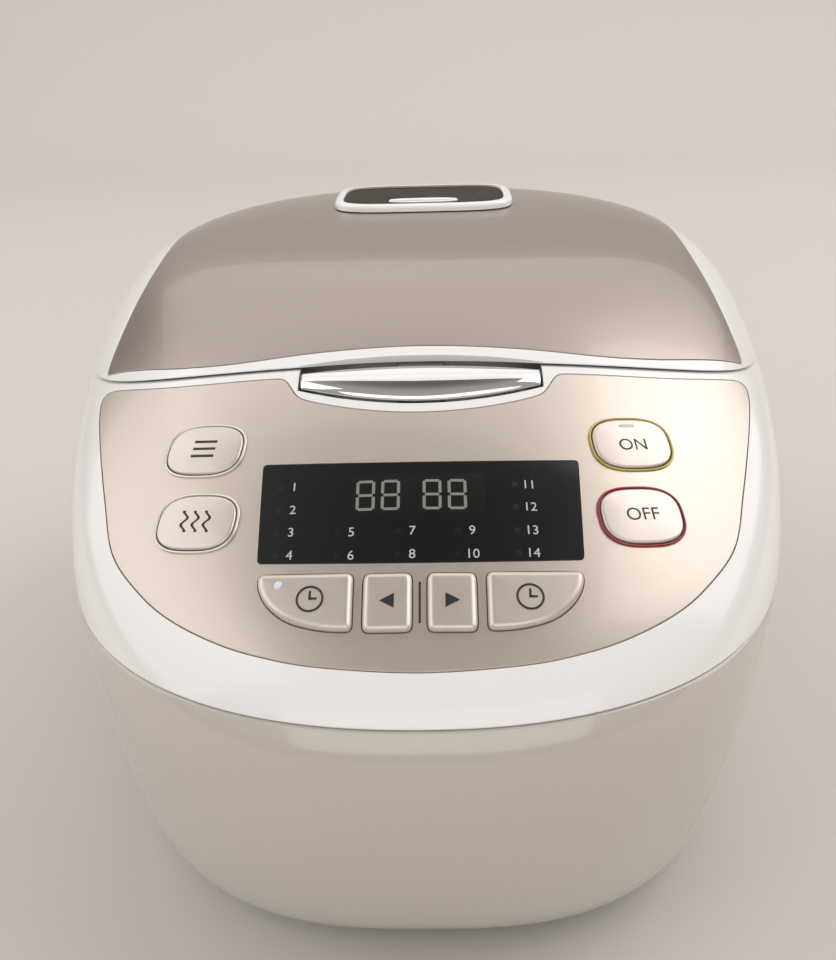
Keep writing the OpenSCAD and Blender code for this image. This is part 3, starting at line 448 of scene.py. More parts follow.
surface = dict(grain=900, bump=0.0004, coatRough=0.04)
finishes = dict(
    ringWhite=tone(238, 234, 230, tint=0.015, rough=0.2, vary=0.03, coat=0.35, peel=0.12),
    capWhite=tone(250, 248, 245, tint=0.01, rough=0.2, vary=0.03, coat=0.35, peel=0.08),
    # the lower body is the same white plastic as the ring; its warm grey is painted shade for a body that
    # faces down
    lowerGloss=tone(197, 188, 178, tint=0.03, rough=0.14, vary=0.03, coat=0.6, peel=0.1),
    fasciaSilver=tone(205, 192, 180, tint=0.04, rough=0.34, vary=0.04, metal=0.7, coat=0.3, grain=2200,
                      peel=0.05),
    # the lid's pearly silver, darkened further as painted shade and reflection for the dark room the lid
    # mirrors
    lidSilver=tone(164, 151, 144, tint=0.04, rough=0.3, vary=0.03, metal=0.8, coat=0.4, grain=2200,
                   peel=0.08),
    keySilver=tone(213, 201, 190, tint=0.035, rough=0.34, vary=0.04, metal=0.6, coat=0.3, grain=2200,
                   peel=0.03),
    smokedGlass=tone(20, 21, 21, tint=0.05, rough=0.12, vary=0.03, coat=0.2, peel=0.03),
    glassCell=tone(17, 18, 17, tint=0.04, rough=0.2, vary=0.04, coat=0.2),
    litDigit=tone(126, 128, 122, tint=0.03, rough=0.45, vary=0.05),
    dimSquare=tone(12, 12, 13, tint=0.05, rough=0.3, vary=0.05),
    palePrint=tone(186, 188, 186, tint=0.03, rough=0.5, vary=0.04),
    darkPrint=tone(34, 32, 33, tint=0.05, rough=0.5, vary=0.05),
    chrome=tone(226, 224, 222, tint=0.01, rough=0.045, vary=0.02, metal=1.0, peel=0.05),
    ringSilver=tone(222, 217, 211, tint=0.02, rough=0.26, vary=0.04, metal=0.55, coat=0.3),
    ringGold=tone(178, 160, 88, tint=0.05, rough=0.28, vary=0.05, metal=0.7),
    ringRed=tone(142, 26, 38, tint=0.06, rough=0.26, vary=0.05, metal=0.3, coat=0.4),
    lampLens=tone(196, 196, 192, tint=0.03, rough=0.2, vary=0.05, coat=0.5),
    blueLens=tone(214, 226, 236, tint=0.03, rough=0.2, vary=0.05, coat=0.5),
    brownGloss=tone(42, 27, 19, tint=0.1, rough=0.24, vary=0.05, shine=0.02, peel=0.05),
    darkPlastic=tone(48, 48, 50, tint=0.08, rough=0.5, vary=0.08, grain=1600, bump=0.08),
    blackRubber=tone(40, 40, 41, tint=0.1, rough=0.75, vary=0.08, grain=2400, bump=0.15),
    greyRubber=tone(150, 150, 148, tint=0.06, rough=0.6, vary=0.08, grain=2400, bump=0.08),
    innerWhite=tone(226, 224, 221, tint=0.03, rough=0.42, vary=0.06, grain=1500, bump=0.05),
    brushedAlloy=tone(200, 201, 203, tint=0.06, rough=0.32, vary=0.12, metal=1.0, bump=0.05,
                      stretch=(1, 1, 14)),
    spunAlloy=tone(196, 197, 200, tint=0.05, rough=0.3, vary=0.03, metal=1.0, grain=420, bump=0.03,
                   rings=True),
    castAlloy=tone(150, 151, 154, tint=0.1, rough=0.5, vary=0.12, metal=0.9, grain=380, bump=0.1, rings=True),
    nonStick=tone(58, 58, 61, tint=0.3, rough=0.38, vary=0.1, metal=0.3, grain=2600, bump=0.03),
    springSteel=tone(176, 178, 182, tint=0.04, rough=0.25, vary=0.06, metal=1.0, grain=1500, bump=0.03),
    brass=tone(208, 178, 104, tint=0.05, rough=0.25, vary=0.06, metal=1.0, bump=0.03),
    copperTone=tone(182, 112, 82, tint=0.08, rough=0.4, vary=0.1, metal=0.8, bump=0.05),
    greenBoard=tone(42, 96, 58, tint=0.12, rough=0.4, vary=0.08, coat=0.3, bump=0.05),
    wireSleeve=tone(172, 60, 54, tint=0.08, rough=0.45, vary=0.08, bump=0.04))


def newNodes(tree, *kinds):
    return [tree.nodes.new(kind) for kind in kinds]


# sets inputs by name or number
def give(node, values):
    for socket, value in values.items():
        node.inputs[socket].default_value = value


# each link is (from, output, to, input)
def connect(tree, *links):
    for start, out, end, into in links:
        tree.links.new(start.outputs[out], end.inputs[into])


def makeFinish(name, look):
    mat = bpy.data.materials.new(name)
    mat.use_nodes = True
    tree = mat.node_tree
    tree.nodes.clear()
    out, shader, coords, mapping, noise = newNodes(
        tree, "ShaderNodeOutputMaterial", "ShaderNodeBsdfPrincipled", "ShaderNodeTexCoord",
        "ShaderNodeMapping", "ShaderNodeTexNoise")
    grain = look.get("grain", surface["grain"])
    give(mapping, {"Scale": look.get("stretch", (1, 1, 1))})
    give(noise, {"Scale": grain, "Detail": 1})
    connect(tree, (shader, "BSDF", out, "Surface"), (coords, "Object", mapping, "Vector"),
            (mapping, "Vector", noise, "Vector"))
    if "rings" in look:  # turning marks round the pan's axis
        flat, reach = newNodes(tree, "ShaderNodeVectorMath", "ShaderNodeVectorMath")
        flat.operation, reach.operation, noise.noise_dimensions = "MULTIPLY", "LENGTH", "1D"
        give(mapping, {"Location": (-lidShape["hub"][0] * mm, -lidShape["hub"][1] * mm, 0)})
        give(flat, {1: (1, 1, 0)})
        connect(tree, (mapping, "Vector", flat, 0), (flat, "Vector", reach, 0), (reach, "Value", noise, "W"))
    blend, spread, broad = newNodes(tree, "ShaderNodeMix", "ShaderNodeMapRange", "ShaderNodeTexNoise")
    blend.data_type = "RGBA"
    base, shade, rough, vary = linear(*look["colour"])[:3], look["tint"], look["rough"], look["vary"]
    give(blend, {"A": tuple(c * (1 - shade) for c in base) + (1,),
                 "B": tuple(min(1, c * (1 + shade)) for c in base) + (1,)})
    give(spread, {"To Min": max(0.02, rough - vary), "To Max": rough + vary})
    give(broad, {"Scale": grain / 8})
    connect(tree, (noise, "Fac", blend, "Factor"), (blend, "Result", shader, "Base Color"),
            (mapping, "Vector", broad, "Vector"), (broad, "Fac", spread, "Value"),
            (spread, "Result", shader, "Roughness"))
    # peel is the slow wave of sprayed paint, bump the fine grain of a moulded or worked surface
    if "peel" in look or "bump" in look:
        bump, = newNodes(tree, "ShaderNodeBump")
        give(bump, {"Strength": look.get("peel", look.get("bump")), "Distance": surface["bump"]})
        connect(tree, (broad if "peel" in look else noise, "Fac", bump, "Height"),
                (bump, "Normal", shader, "Normal"))
    give(shader, {"Metallic": look.get("metal", 0.0), "Coat Weight": look.get("coat", 0.0),
                  "Coat Roughness": surface["coatRough"], "Specular IOR Level": look.get("shine", 0.5)})
    return mat


finish = {name: makeFinish(name, how) for name, how in finishes.items()}
print("finishes ready")


# Geometry Nodes: stamps on points, sweeps along outlines, coils
def treeFor(name, inputs):
    tree = bpy.data.node_groups.new(name, "GeometryNodeTree")
    for way in ("OUTPUT", "INPUT"):
        tree.interface.new_socket("Geometry", in_out=way, socket_type="NodeSocketGeometry")
    for label, kind, value in [*inputs, ("Material", "NodeSocketMaterial", None)]:
        socket = tree.interface.new_socket(label, in_out="INPUT", socket_type=kind)
        if value is not None:
            socket.default_value = value
    return tree, *newNodes(tree, "NodeGroupInput", "NodeGroupOutput")


# ends a tree with real geometry in the material asked for
def endTree(tree, start, end, last, output):
    realize, paint = newNodes(tree, "GeometryNodeRealizeInstances", "GeometryNodeSetMaterial")
    connect(tree, (last, output, realize, "Geometry"), (realize, "Geometry", paint, "Geometry"),
            (start, "Material", paint, "Material"), (paint, "Geometry", end, "Geometry"))
    return tree


def stampTree():
    real = "NodeSocketFloat"
    tree, start, end = treeFor("plateOnPoints", [("Width", real, 0.002), ("Height", real, 0.002),
                                                 ("Thickness", real, 0.0002), ("Corner", real, 0.0003)])
    quad, fillet, fill, extrude, back, join, merge, aim, place = newNodes(
        tree, "GeometryNodeCurvePrimitiveQuadrilateral", "GeometryNodeFilletCurve", "GeometryNodeFillCurve",
        "GeometryNodeExtrudeMesh", "GeometryNodeFlipFaces", "GeometryNodeJoinGeometry",
        "GeometryNodeMergeByDistance", "GeometryNodeInputNamedAttribute", "GeometryNodeInstanceOnPoints")
    fillet.mode, fill.mode, aim.data_type = "POLY", "NGONS", "FLOAT_VECTOR"
    give(fillet, {"Count": 3})
    give(merge, {"Distance": 1e-6})
    give(aim, {"Name": "aim"})
    connect(tree, (start, "Width", quad, "Width"), (start, "Height", quad, "Height"),
            (quad, "Curve", fillet, "Curve"), (start, "Corner", fillet, "Radius"),
            (fillet, "Curve", fill, "Curve"), (fill, "Mesh", extrude, "Mesh"),
            (start, "Thickness", extrude, "Offset Scale"), (fill, "Mesh", back, "Mesh"),
            (extrude, "Mesh", join, "Geometry"), (back, "Mesh", join, "Geometry"),
            (join, "Geometry", merge, "Geometry"), (start, "Geometry", place, "Points"),
            (merge, "Geometry", place, "Instance"), (aim, "Attribute", place, "Rotation"))
    return endTree(tree, start, end, place, "Instances")


# a round wire along the path node's curve
def wireAlong(tree, start, radius, path):
    profile, body = newNodes(tree, "GeometryNodeCurvePrimitiveCircle", "GeometryNodeCurveToMesh")
    give(body, {"Fill Caps": True})
    connect(tree, (start, radius, profile, "Radius"), (path, "Curve", body, "Curve"),
            (profile, "Curve", body, "Profile Curve"))
    return profile, body


def sweepTree():
    tree, start, end = treeFor("wireAlongOutline", [
        ("Radius", "NodeSocketFloat", 0.0005), ("Sides", "NodeSocketInt", 10)])
    path, = newNodes(tree, "GeometryNodeMeshToCurve")
    profile, body = wireAlong(tree, start, "Radius", path)
    connect(tree, (start, "Geometry", path, "Mesh"), (start, "Sides", profile, "Resolution"))
    return endTree(tree, start, end, body, "Mesh")


def coilTree():
    real = "NodeSocketFloat"
    tree, start, end = treeFor("wireCoil", [
        ("Radius", real, 0.004), ("Length", real, 0.036), ("Turns", real, 10.0), ("Wire", real, 0.0007)])
    spiral, = newNodes(tree, "GeometryNodeCurveSpiral")
    profile, body = wireAlong(tree, start, "Wire", spiral)
    give(spiral, {"Resolution": 40})
    give(profile, {"Resolution": 12})
    connect(tree, (start, "Turns", spiral, "Rotations"), (start, "Radius", spiral, "Start Radius"),
            (start, "Radius", spiral, "End Radius"), (start, "Length", spiral, "Height"))
    return endTree(tree, start, end, body, "Mesh")


trees = {"stamp": stampTree(), "sweep": sweepTree(), "coil": coilTree()}


# runs one of the trees on a mesh and keeps its plain result
def grown(name, mesh, tree, values, material):
    obj = linked(name, mesh)
    change = obj.modifiers.new("nodes", "NODES")
    change.node_group = trees[tree]
    sockets = {s.name: s.identifier for s in trees[tree].interface.items_tree if s.in_out == "INPUT"}
    for label, value in values.items():
        change[sockets[label]] = value
    change[sockets["Material"]] = finish[material]
    bpy.context.view_layer.update()
    return smoothByAngle(bake(obj, finish[material]), 50)


def pointsMesh(name, matrices):
    mesh = newMesh(name, [tuple(m.translation * mm) for m in matrices], [], [])
    aim = mesh.attributes.new("aim", "FLOAT_VECTOR", "POINT")
    aim.data.foreach_set("vector", [c for m in matrices for c in m.to_euler()])
    return mesh


def stamps(name, matrices, width, height, thickness, corner, material):
    sizes = {"Width": width * mm, "Height": height * mm, "Thickness": thickness * mm, "Corner": corner * mm}
    return grown(name, pointsMesh(name, matrices), "stamp", sizes, material)


def sweep(name, points, radius, material, sides):
    n = len(points)
    mesh = newMesh(name, inScene(points), [(i, (i + 1) % n) for i in range(n)], [])
    return grown(name, mesh, "sweep", {"Radius": radius * mm, "Sides": sides}, material)


def raised(u, v, up):
    return panelFrame(u, v) @ Matrix.Translation((0, 0, up))


print("node trees ready")


# shells; each (height, follow, inset) gives one loop round the shell
def shellRows(loops, az):
    return [shellPoint(az, elevationAt(az, w, z, follow), w) for z, follow, w in loops]


def between(az, lowZ, lowFollow, highZ, highFollow, w, steps):
    e0, e1 = elevationAt(az, w, lowZ, lowFollow), elevationAt(az, w, highZ, highFollow)
    return [shellPoint(az, e0 + (e1 - e0) * t, w) for t in steps]


lowerShell = dict(
    edge=1.0, rows=(58, 16), inletPlace=(66, 151, 29), inletTurn=-21,
    inletHole=((-17.3, -30, -12.3), (17.3, 20, 12.3)), inletSeat=((-19.2, 4, -14.2), (19.2, 34, 14.2)))
upperRing = dict(
    edge=1.1, rows=(60, 24), gap=0.3, recess=dict(hub=panelHub, sheet=(-1.8, 6), edge=0.1, rings=10),
    inside=6.0, skirt=2.6, skirtGap=1.5, skirtWall=2.3, window=(-48, 6), dip=(150, 210), buttonGap=0.45,
    collectorSlot=((-37.2, 168, 126), (37.2, 200, 166)), hingeSlot=((-48, 168, 167.2), (48, 200, 190)))


around = np.arange(shellShape["turns"]) * 360 / shellShape["turns"]


# the outside of a shell part, with a rounded rim at both ends
def outerWall(az, bottom, top, follow, r, count):
    rows = shellRows([(bottom + d, 0, i) for i, d in rounding(r)][:-1], az)[::-1]
    rows += between(az, bottom + r, 0, top - r, follow, 0.0, np.linspace(0, 1, count))
    return rows + shellRows([(top - d, follow, i) for i, d in rounding(r)][1:], az)


def makeLowerShell():
    az, w, (outer, inner) = around, shellShape["wall"], lowerShell["rows"]
    bottom, top = shellShape["baseZ"], shellShape["seamZ"] - shellShape["seamGap"] / 2
    rows = outerWall(az, bottom, top, 0, lowerShell["edge"], outer)
    rows += between(az, bottom, 0, top, 0, w, np.linspace(1, 0, inner))
    obj = loft("lowerShell", rows, "lowerGloss", closed=True)
    turn = Matrix.Rotation(math.radians(lowerShell["inletTurn"]), 4, "Z")
    place = Matrix.Translation(lowerShell["inletPlace"]) @ turn
    for part in ("inletHole", "inletSeat"):
        cut(obj, block(part, *lowerShell[part], "lowerGloss", place))
    return smoothByRule(obj)


# the dip round the opening button, open towards the lid
def buttonCutout(gap):
    b = openButton
    half = b["half"] + b["sideGap"]
    x = np.linspace(-half, half, 41)
    front = np.column_stack([x, b["front"] - b["frontGap"] + b["bow"] * x * x])
    return grow(np.vstack([front, [[half, b["dipRear"]], [-half, b["dipRear"]]]]), gap)


def makeUpperRing():
    ring, az, (outer, inner) = upperRing, around, upperRing["rows"]
    w, seam, half = shellShape["wall"], shellShape["seamZ"], shellShape["seamGap"] / 2
    bottom, top = seam + half, lidShape["lineZ"] - lidShape["gap"] / 2
    rows = outerWall(az, bottom, top, 1, ring["edge"], outer)
    rows += between(az, seam + ring["inside"], 0, top, 1, w, np.linspace(1, 0, inner))
    skirt, g = seam - ring["skirt"], w + ring["skirtGap"]
    rows += shellRows([(skirt, 0, g + ring["skirtWall"]), (skirt, 0, g), (bottom, 0, g)], az)
    obj = loft("upperRing", rows, "ringWhite", closed=True)
    edge = grow(panelOutline(), ring["gap"])
    cut(obj, sheetPiece("recess", edge, ring["recess"], panelPoint, "ringWhite"))
    cut(obj, prism("window", openOutline(), *ring["window"], "ringWhite", panelSlope))
    cut(obj, prism("dip", buttonCutout(ring["buttonGap"]), *ring["dip"], "ringWhite"))
    for part in ("collectorSlot", "hingeSlot"):
        cut(obj, block(part, *ring[part], "ringWhite"))
    return smoothByRule(obj)


lidFrame = dict(
    edge=1.0, wall=3.5, lip=2.05, points=420, rows=22, notchRear=(44.4, -63.9, 1.1), notchHalf=45.6,
    notchCorner=-67, notchFront=-90, notchDepth=(150, 230), arms=(-25, 25), armHalf=4, armY=(150, 180),
    armZ=(178, 183))


def clipBack(rows, w=0.0):
    return [np.column_stack([p[:, 0], np.minimum(p[:, 1], lidShape["backY"] - w), p[:, 2]]) for p in rows]


def makeLidFrame():
    f = lidFrame
    q = evenly(lidOutline(), f["points"])
    az = np.degrees(np.arctan2(q[:, 1] - middle[1], q[:, 0]))
    top = np.column_stack([q, roof(q)]) - middle
    e1 = np.degrees(np.arctan2(top[:, 2], np.hypot(top[:, 0], top[:, 1])))
    w, r, t, half = f["wall"], f["edge"], f["lip"], lidShape["gap"] / 2
    rows = [shellPoint(az, lineElevation(az, i, half + d), i) for i, d in rounding(r)][::-1][:-1]
    e0 = lineElevation(az, 0, half + r)
    rows += [shellPoint(az, e0 + (e1 - e0) * s, 0) for s in np.linspace(0, 0.985, f["rows"])]
    rows += [shellPoint(az, e1 + turn, inset) for turn, inset in ((0, 0.35), (0, t), (3, t), (3, t + 2))]
    rows = clipBack(rows)
    f0 = lineElevation(az, w, half)
    rows += clipBack([shellPoint(az, f0 + (e1 - f0) * s, w + 0.7 * s) for s in (0.9, 0.6, 0.3, 0)], 3)
    obj = loft("lidFrame", rows, "ringWhite", closed=True)
    half, y, bow = f["notchRear"]
    x = np.linspace(-half, half, 41)
    rear = np.column_stack([x, y - bow * np.abs(x / half) ** 2.2])[::-1]
    side, corner, front = f["notchHalf"], f["notchCorner"], f["notchFront"]
    notch = np.vstack([[[-side, front], [side, front], [side, corner]], rear, [[-side, corner]]])
    cut(obj, prism("notch", notch, *f["notchDepth"], "ringWhite"))
    for x in f["arms"]:
        low, high = zip((x - f["armHalf"], x + f["armHalf"]), f["armY"], f["armZ"])
        cut(obj, block("armSlot", low, high, "ringWhite"))
    return smoothByRule(obj)


lidPanel = dict(gap=0.35, hub=lidShape["hub"], sheet=(-1.7, 0.0), edge=0.45, rings=34, hole=(190, 240))
capSize = dict(
    y=98.0, width=88.0, depth=56.0, top=222.0, square=4.2, rim=4.2, edge=1.6, hole=2.6, neck=3.4, well=5.4,
    under=218.9, low=204, floor=206, lip=0.7, hub=8, shoulder=1.8, insert=(0.2, 1.75, 0.6, 0.4))


# the cap's outline, moved in
def capEdge(inset, square, count=144):
    c = capSize
    return oval(c["width"] / 2 - inset, c["depth"] / 2 - inset, square, count) + [0, c["y"]]


def makeLidPanel():
    edge = grow(evenly(lidOutline(), lidFrame["points"]), -lidPanel["gap"])
    obj = sheetPiece("lidPanel", edge, lidPanel, lidPoint, "lidSilver")
    cut(obj, prism("hole", capEdge(capSize["hole"], 5, 96), *lidPanel["hole"], "lidSilver"))
    return smoothByRule(obj, near=0.97)


# controls
keySize = dict(
    gap=0.3, trim=0.85, room=1.3, boardW=-20.0, switch=4.0, stem=2.2, flange=1.3, flangeLow=-4.2,
    flangeTop=-3.1, wire=0.44, trimOut=0.5, trimUp=0.1, hole=(-9, 8),
    oval=dict(rise=1.0, crown=0.4, edge=0.8), pillow=dict(rise=1.6, crown=0.15, edge=2.0))
keys = {
    "menuKey": ("menu_button", "menu_key", (-74.8, 26.6), ovalEdge, -7),
    "warmKey": ("warm_button", "warm_key", (-73.9, -2.8), ovalEdge, -6.5),
    "startKey": ("start_button", "start_key", (72.4, 26.3), ovalEdge, 7),
    "offKey": ("off_button", "off_key", (72.2, -2.7), ovalEdge, 6.5),
    "timerKey": ("timer_button", "timer_key", (-35.5, -34.4), mirrored(leafEdge), 0),
    "leftKey": ("left_button", "left_key", (-9.9, -35.2), arrowEdge, 0),
    "rightKey": ("right_button", "right_key", (9.9, -35.2), arrowEdge, 0),
    "cookTimeKey": ("cook_time_button", "cook_time_key", (35.5, -34.4), leafEdge, 0),
}


def keyForm(edge):
    kind = keySize["oval" if edge is ovalEdge else "pillow"]
    return kind["rise"], kind["edge"], kind["crown"]


def transformed(rows, matrix):
    m = np.array(matrix)
    return [r @ m[:3, :3].T + m[:3, 3] for r in rows]


# a closed loft in a key's or the panel's own frame
def placedLoft(name, rows, poles, matrix, material, degrees):
    obj = loft(name, transformed(rows, matrix), material, poles=transformed([np.array(poles)], matrix)[0])
    return smoothByAngle(obj, degrees)


def makeKey(name, at, edge, turn):
    k = keySize
    rise, r, crown = keyForm(edge)
    stem = float(panelHeight(*at)[0]) - k["boardW"] - k["switch"] - k["room"]
    centre = edge.mean(0)
    away = edge - centre
    ring = centre + away / np.linalg.norm(away, axis=1, keepdims=True) * k["stem"]
    flange = grow(edge, k["flange"])
    rows = layers((ring, -stem), (ring, k["flangeLow"]), (flange, k["flangeLow"]), (flange, k["flangeTop"]),
                  (edge, k["flangeTop"]))
    rows += roundedTop(edge, rise, r, 7)
    inner = grow(edge, -r)
    rows += [flatRow(centre + (inner - centre) * f, rise + crown * (1 - f ** 2.2))
             for f in np.linspace(0.95, 0.08, 14)]
    poles = [[*centre, -stem], [*centre, rise + crown]]
    return placedLoft(name, rows, poles, panelFrame(*at, turn), "keySilver", 55)


fascia = dict(hub=panelHub, sheet=(-1.6, 0.0), edge=0.4, rings=40, displayGap=0.12, displayHole=(-14, 8))
display = dict(hub=(0, -2.5), gap=0.05, sheet=(-1.5, -0.1), edge=0.25, rings=22)


def makeFascia():
    f, k = fascia, keySize
    obj = sheetPiece("fascia", panelOutline(), f, panelPoint, "fasciaSilver")
    holes = [prism("displayHole", displayOutline(-f["displayGap"]), *f["displayHole"], "fasciaSilver",
                   panelSlope)]
    for _, _, at, edge, turn in keys.values():
        room = grow(edge, k["gap"] + (k["trim"] if edge is ovalEdge else 0))
        holes.append(prism("keyHole", room, *k["hole"], "fasciaSilver", panelFrame(*at, turn)))
    return smoothByRule(cut(obj, joined(*holes)))


def makeTrim(key, name, material):
    at, edge, turn = keys[key][2:]
    k = keySize
    loop = flatRow(grow(edge, k["gap"] + k["trimOut"]), k["trimUp"])
    return sweep(name, transformed([loop], panelFrame(*at, turn))[0], k["wire"], material, 12)


def makeDisplay():
    edge = displayOutline(display["gap"])
    return smoothByRule(sheetPiece("displayGlass", edge, display, panelPoint, "smokedGlass"))


displayMarks = dict(
    digits=(-20.9, -12.7, 0.9, 9.1), digitLow=-2.5, digitSize=(6.2, 11.6), stroke=1.0, ends=(1.1, 1.5),
    squares=[(-46.3, 7.9), (-46.2, -1.0), (-46.2, -9.4), (-46.1, -17.8), (-26.5, -10.4), (-26.4, -18.8),
             (-7.0, -10.4), (-7.0, -18.8), (12.1, -10.4), (12.0, -18.8), (31.2, 7.3), (31.2, -1.3),
             (31.2, -10.0), (31.1, -18.2)],
    square=2.0, number=4.6, up=-0.11, over=0.06, thick=(0.06, 0.07), corner=(0.3, 0.15),
    cell=dict(outline=box(-22.5, -3.5, 21, 11.6), hub=(-0.7, 4.0), sheet=(-0.16, -0.07), edge=0.03, rings=10))


# the middles of the unlit digits' upright and level strokes
def digitStrokes():
    d, up = displayMarks, displayMarks["up"] + displayMarks["over"]
    (w, h), low, stroke = d["digitSize"], d["digitLow"], d["stroke"]
    upright = [raised(u + stroke / 2 + side * (w - stroke), low + h * half, up)
               for u in d["digits"] for side in (0, 1) for half in (0.25, 0.75)]
    level = [raised(u + w / 2, low + h * row, up) for u in d["digits"] for row in (0.04, 0.5, 0.96)]
    return upright, level


def makeDisplayMarks():
    d = displayMarks
    upright, level = digitStrokes()
    (w, h), (endUp, endLevel) = d["digitSize"], d["ends"]
    (thick, lamp), (corner, small) = d["thick"], d["corner"]
    edge = roundOff(evenly(np.array(d["cell"]["outline"], float), 160), 3)
    cell = sheetPiece("digitCell", edge, d["cell"], panelPoint, "glassCell")
    one = stamps("digitUprights", upright, d["stroke"], h / 2 - endUp, thick, corner, "litDigit")
    two = stamps("digitBars", level, w - endLevel, d["stroke"], thick, corner, "litDigit")
    places = [raised(u, v, d["up"]) for u, v in d["squares"]]
    dots = stamps("lampSquares", places, d["square"], d["square"], lamp, small, "dimSquare")
    return [smoothByRule(cell), one, two, dots]


def printed(name, words, size, matrix, material, thick=0.05):
    curve = bpy.data.curves.new(name, "FONT")
    curve.body, curve.size, curve.extrude = words, size * mm, thick * mm
    curve.align_x, curve.align_y, curve.resolution_u = "CENTER", "CENTER", 5
    obj = linked(name, curve)
    bpy.context.view_layer.update()
    mesh = bpy.data.meshes.new_from_object(obj.evaluated_get(bpy.context.evaluated_depsgraph_get()))
    bpy.data.objects.remove(obj)
    mesh.transform(inMetres(matrix))
    repaint(mesh, finish[material])
    return tidyNormals(linked(name, mesh))


def makeNumbers():
    size, up = displayMarks["number"], displayMarks["up"] + displayMarks["over"]
    one = joined(*[printed("number%d" % i, str(i), size, raised(u + size, v, up), "palePrint")
                   for i, (u, v) in enumerate(displayMarks["squares"], 1)])
    one.name = "displayNumbers"
    return one


def flatShape(name, points, matrix, material, thick=0.12):
    return prism(name, points, -0.1, thick, material, matrix)


def keyTop(name, du=0.0, dv=0.0, up=0.0):
    _, _, at, edge, turn = keys[name]
    rise, _, crown = keyForm(edge)
    return panelFrame(*at, turn) @ Matrix.Translation((du, dv, rise + crown + up))


# plain signs: bars, flame-like waves, a clock, arrows, ON and OFF
signs = dict(
    bar=(4.2, 0.5), bars=(-3, 0, 3), wave=(0.9, 1.25), waves=(-4, 0, 4), waveHalf=0.5, sunk=-0.08,
    words=dict(startKey=("startSign", "ON", -1.2), offKey=("offSign", "OFF", 0.0)), wordSize=6.6,
    wordUp=-0.02, arrow=[[-2.1, -2.4], [2.3, 0], [-2.1, 2.4]], clocks=dict(timerKey=2.0, cookTimeKey=-2.0),
    clockUp=0.6, clock=4.0, clockWire=0.36, hand=-0.35, hands=((0.35, 2.6), (2.2, 0.35)))


# pairs (sign, key)
def makeIcons():
    dark, g = "darkPrint", signs
    (x, y), (swing, pace), h = g["bar"], g["wave"], g["waveHalf"]
    bars = [flatShape("menuBars", box(-x, v - y, x, v + y), keyTop("menuKey", up=g["sunk"]), dark)
            for v in g["bars"]]
    waves, t = [], np.linspace(-4, 4, 17)
    for u in g["waves"]:
        x = u + swing * np.sin(t * pace)
        edge = np.vstack([np.column_stack([x - h, t]), np.column_stack([x + h, t])[::-1]])
        waves.append(flatShape("warmWaves", edge, keyTop("warmKey", up=g["sunk"]), dark))
    out = [(joined(*bars), "menuKey"), (joined(*waves), "warmKey")]
    for key, (name, word, dv) in g["words"].items():
        out.append((printed(name, word, g["wordSize"], keyTop(key, 0, dv, g["wordUp"]), dark), key))
    for key, flip in (("leftKey", -1), ("rightKey", 1)):
        arrow = [[u * flip, v] for u, v in g["arrow"]][::flip]
        out.append((flatShape(key + "Arrow", arrow, keyTop(key), dark), key))
    for key, du in g["clocks"].items():
        top = keyTop(key, du, g["clockUp"])
        loop = transformed([flatRow(oval(g["clock"], g["clock"], 2, 48), 0.0)], top)[0]
        face = sweep(key + "Clock", loop, g["clockWire"], dark, 8)
        hands = [flatShape(key + "Hand", box(g["hand"], g["hand"], *end), top, dark) for end in g["hands"]]
        out.append((joined(face, *hands), key))
    return out


divider = dict(width=0.65, height=13.6, at=(0, -35.2), up=0.05)
lampSpots = dict(
    startLamp=dict(key="startKey", at=(-0.4, 7.1), size=(2.9, 0.85), top=-0.16, look="lampLens"),
    timerLamp=dict(key="timerKey", at=(-8.2, 5.6), size=(1.4, 1.4), top=-0.1, look="blueLens"))


def makeDivider():
    x, y = divider["width"] / 2, divider["height"] / 2
    return flatShape("keyDivider", box(-x, -y, x, y), raised(*divider["at"], 0), "darkPrint", divider["up"])


def makeLampSpot(name):
    spot = lampSpots[name]
    edge = oval(*spot["size"], 2.6, 40)
    top = keyTop(spot["key"], *spot["at"], spot["top"])
    low, high = -0.8, 0.06
    rows = layers((edge, low), (edge, -0.1), (grow(edge, -0.15), 0.04), (edge * 0.3, high))
    return placedLoft(name, rows, [[0, 0, low], [0, 0, high]], top, spot["look"], 50)


# chrome opening button
openButton = dict(
    half=43.2, front=-83.9, bow=0.00455, rear=-68.6, rearBow=0.2, crown=2.7, lift=0.3, edge=1.2, proud=0.1,
    fade=46, rearWall=1.2, frontWall=3.0, grid=(71, 33), sideGap=0.3, frontGap=0.2, dipRear=-50.0)


# a barrel-shaped bar: s runs from its front edge to its rear edge
def buttonSection(x, s):
    b = openButton
    front, rear = b["front"] + b["bow"] * x * x, b["rear"] + b["rearBow"] * (x / b["half"]) ** 2
    y = front + (rear - front) * s
    near = np.minimum(np.minimum(y - front, rear - y), b["half"] - abs(x))
    r = b["edge"]
    drop = r - np.sqrt(np.maximum(0, r ** 2 - (r - np.minimum(near, r)) ** 2))
    face = b["proud"] + b["lift"] * s + b["crown"] * 4 * s * (1 - s) * (1 - (x / b["fade"]) ** 4)
    wall = b["frontWall"] + (b["rearWall"] - b["frontWall"]) * s
    q = np.column_stack([np.full(len(s), x), y])
    return np.vstack([lidPoint(q, (face - drop)[:, None]), lidPoint(q, (face - wall)[:, None])[::-1]])


def makeOpenButton():
    across, along = openButton["grid"]
    s = 0.5 - 0.5 * np.cos(np.linspace(0, math.pi, along))
    turns = np.linspace(-1, 1, across) * math.pi / 2
    rows = [buttonSection(openButton["half"] * math.sin(a), s) for a in turns]
    poles = [rows[0].mean(0), rows[-1].mean(0)]
    return smoothByAngle(loft("openKeyCap", rows, "chrome", poles=poles), 55)


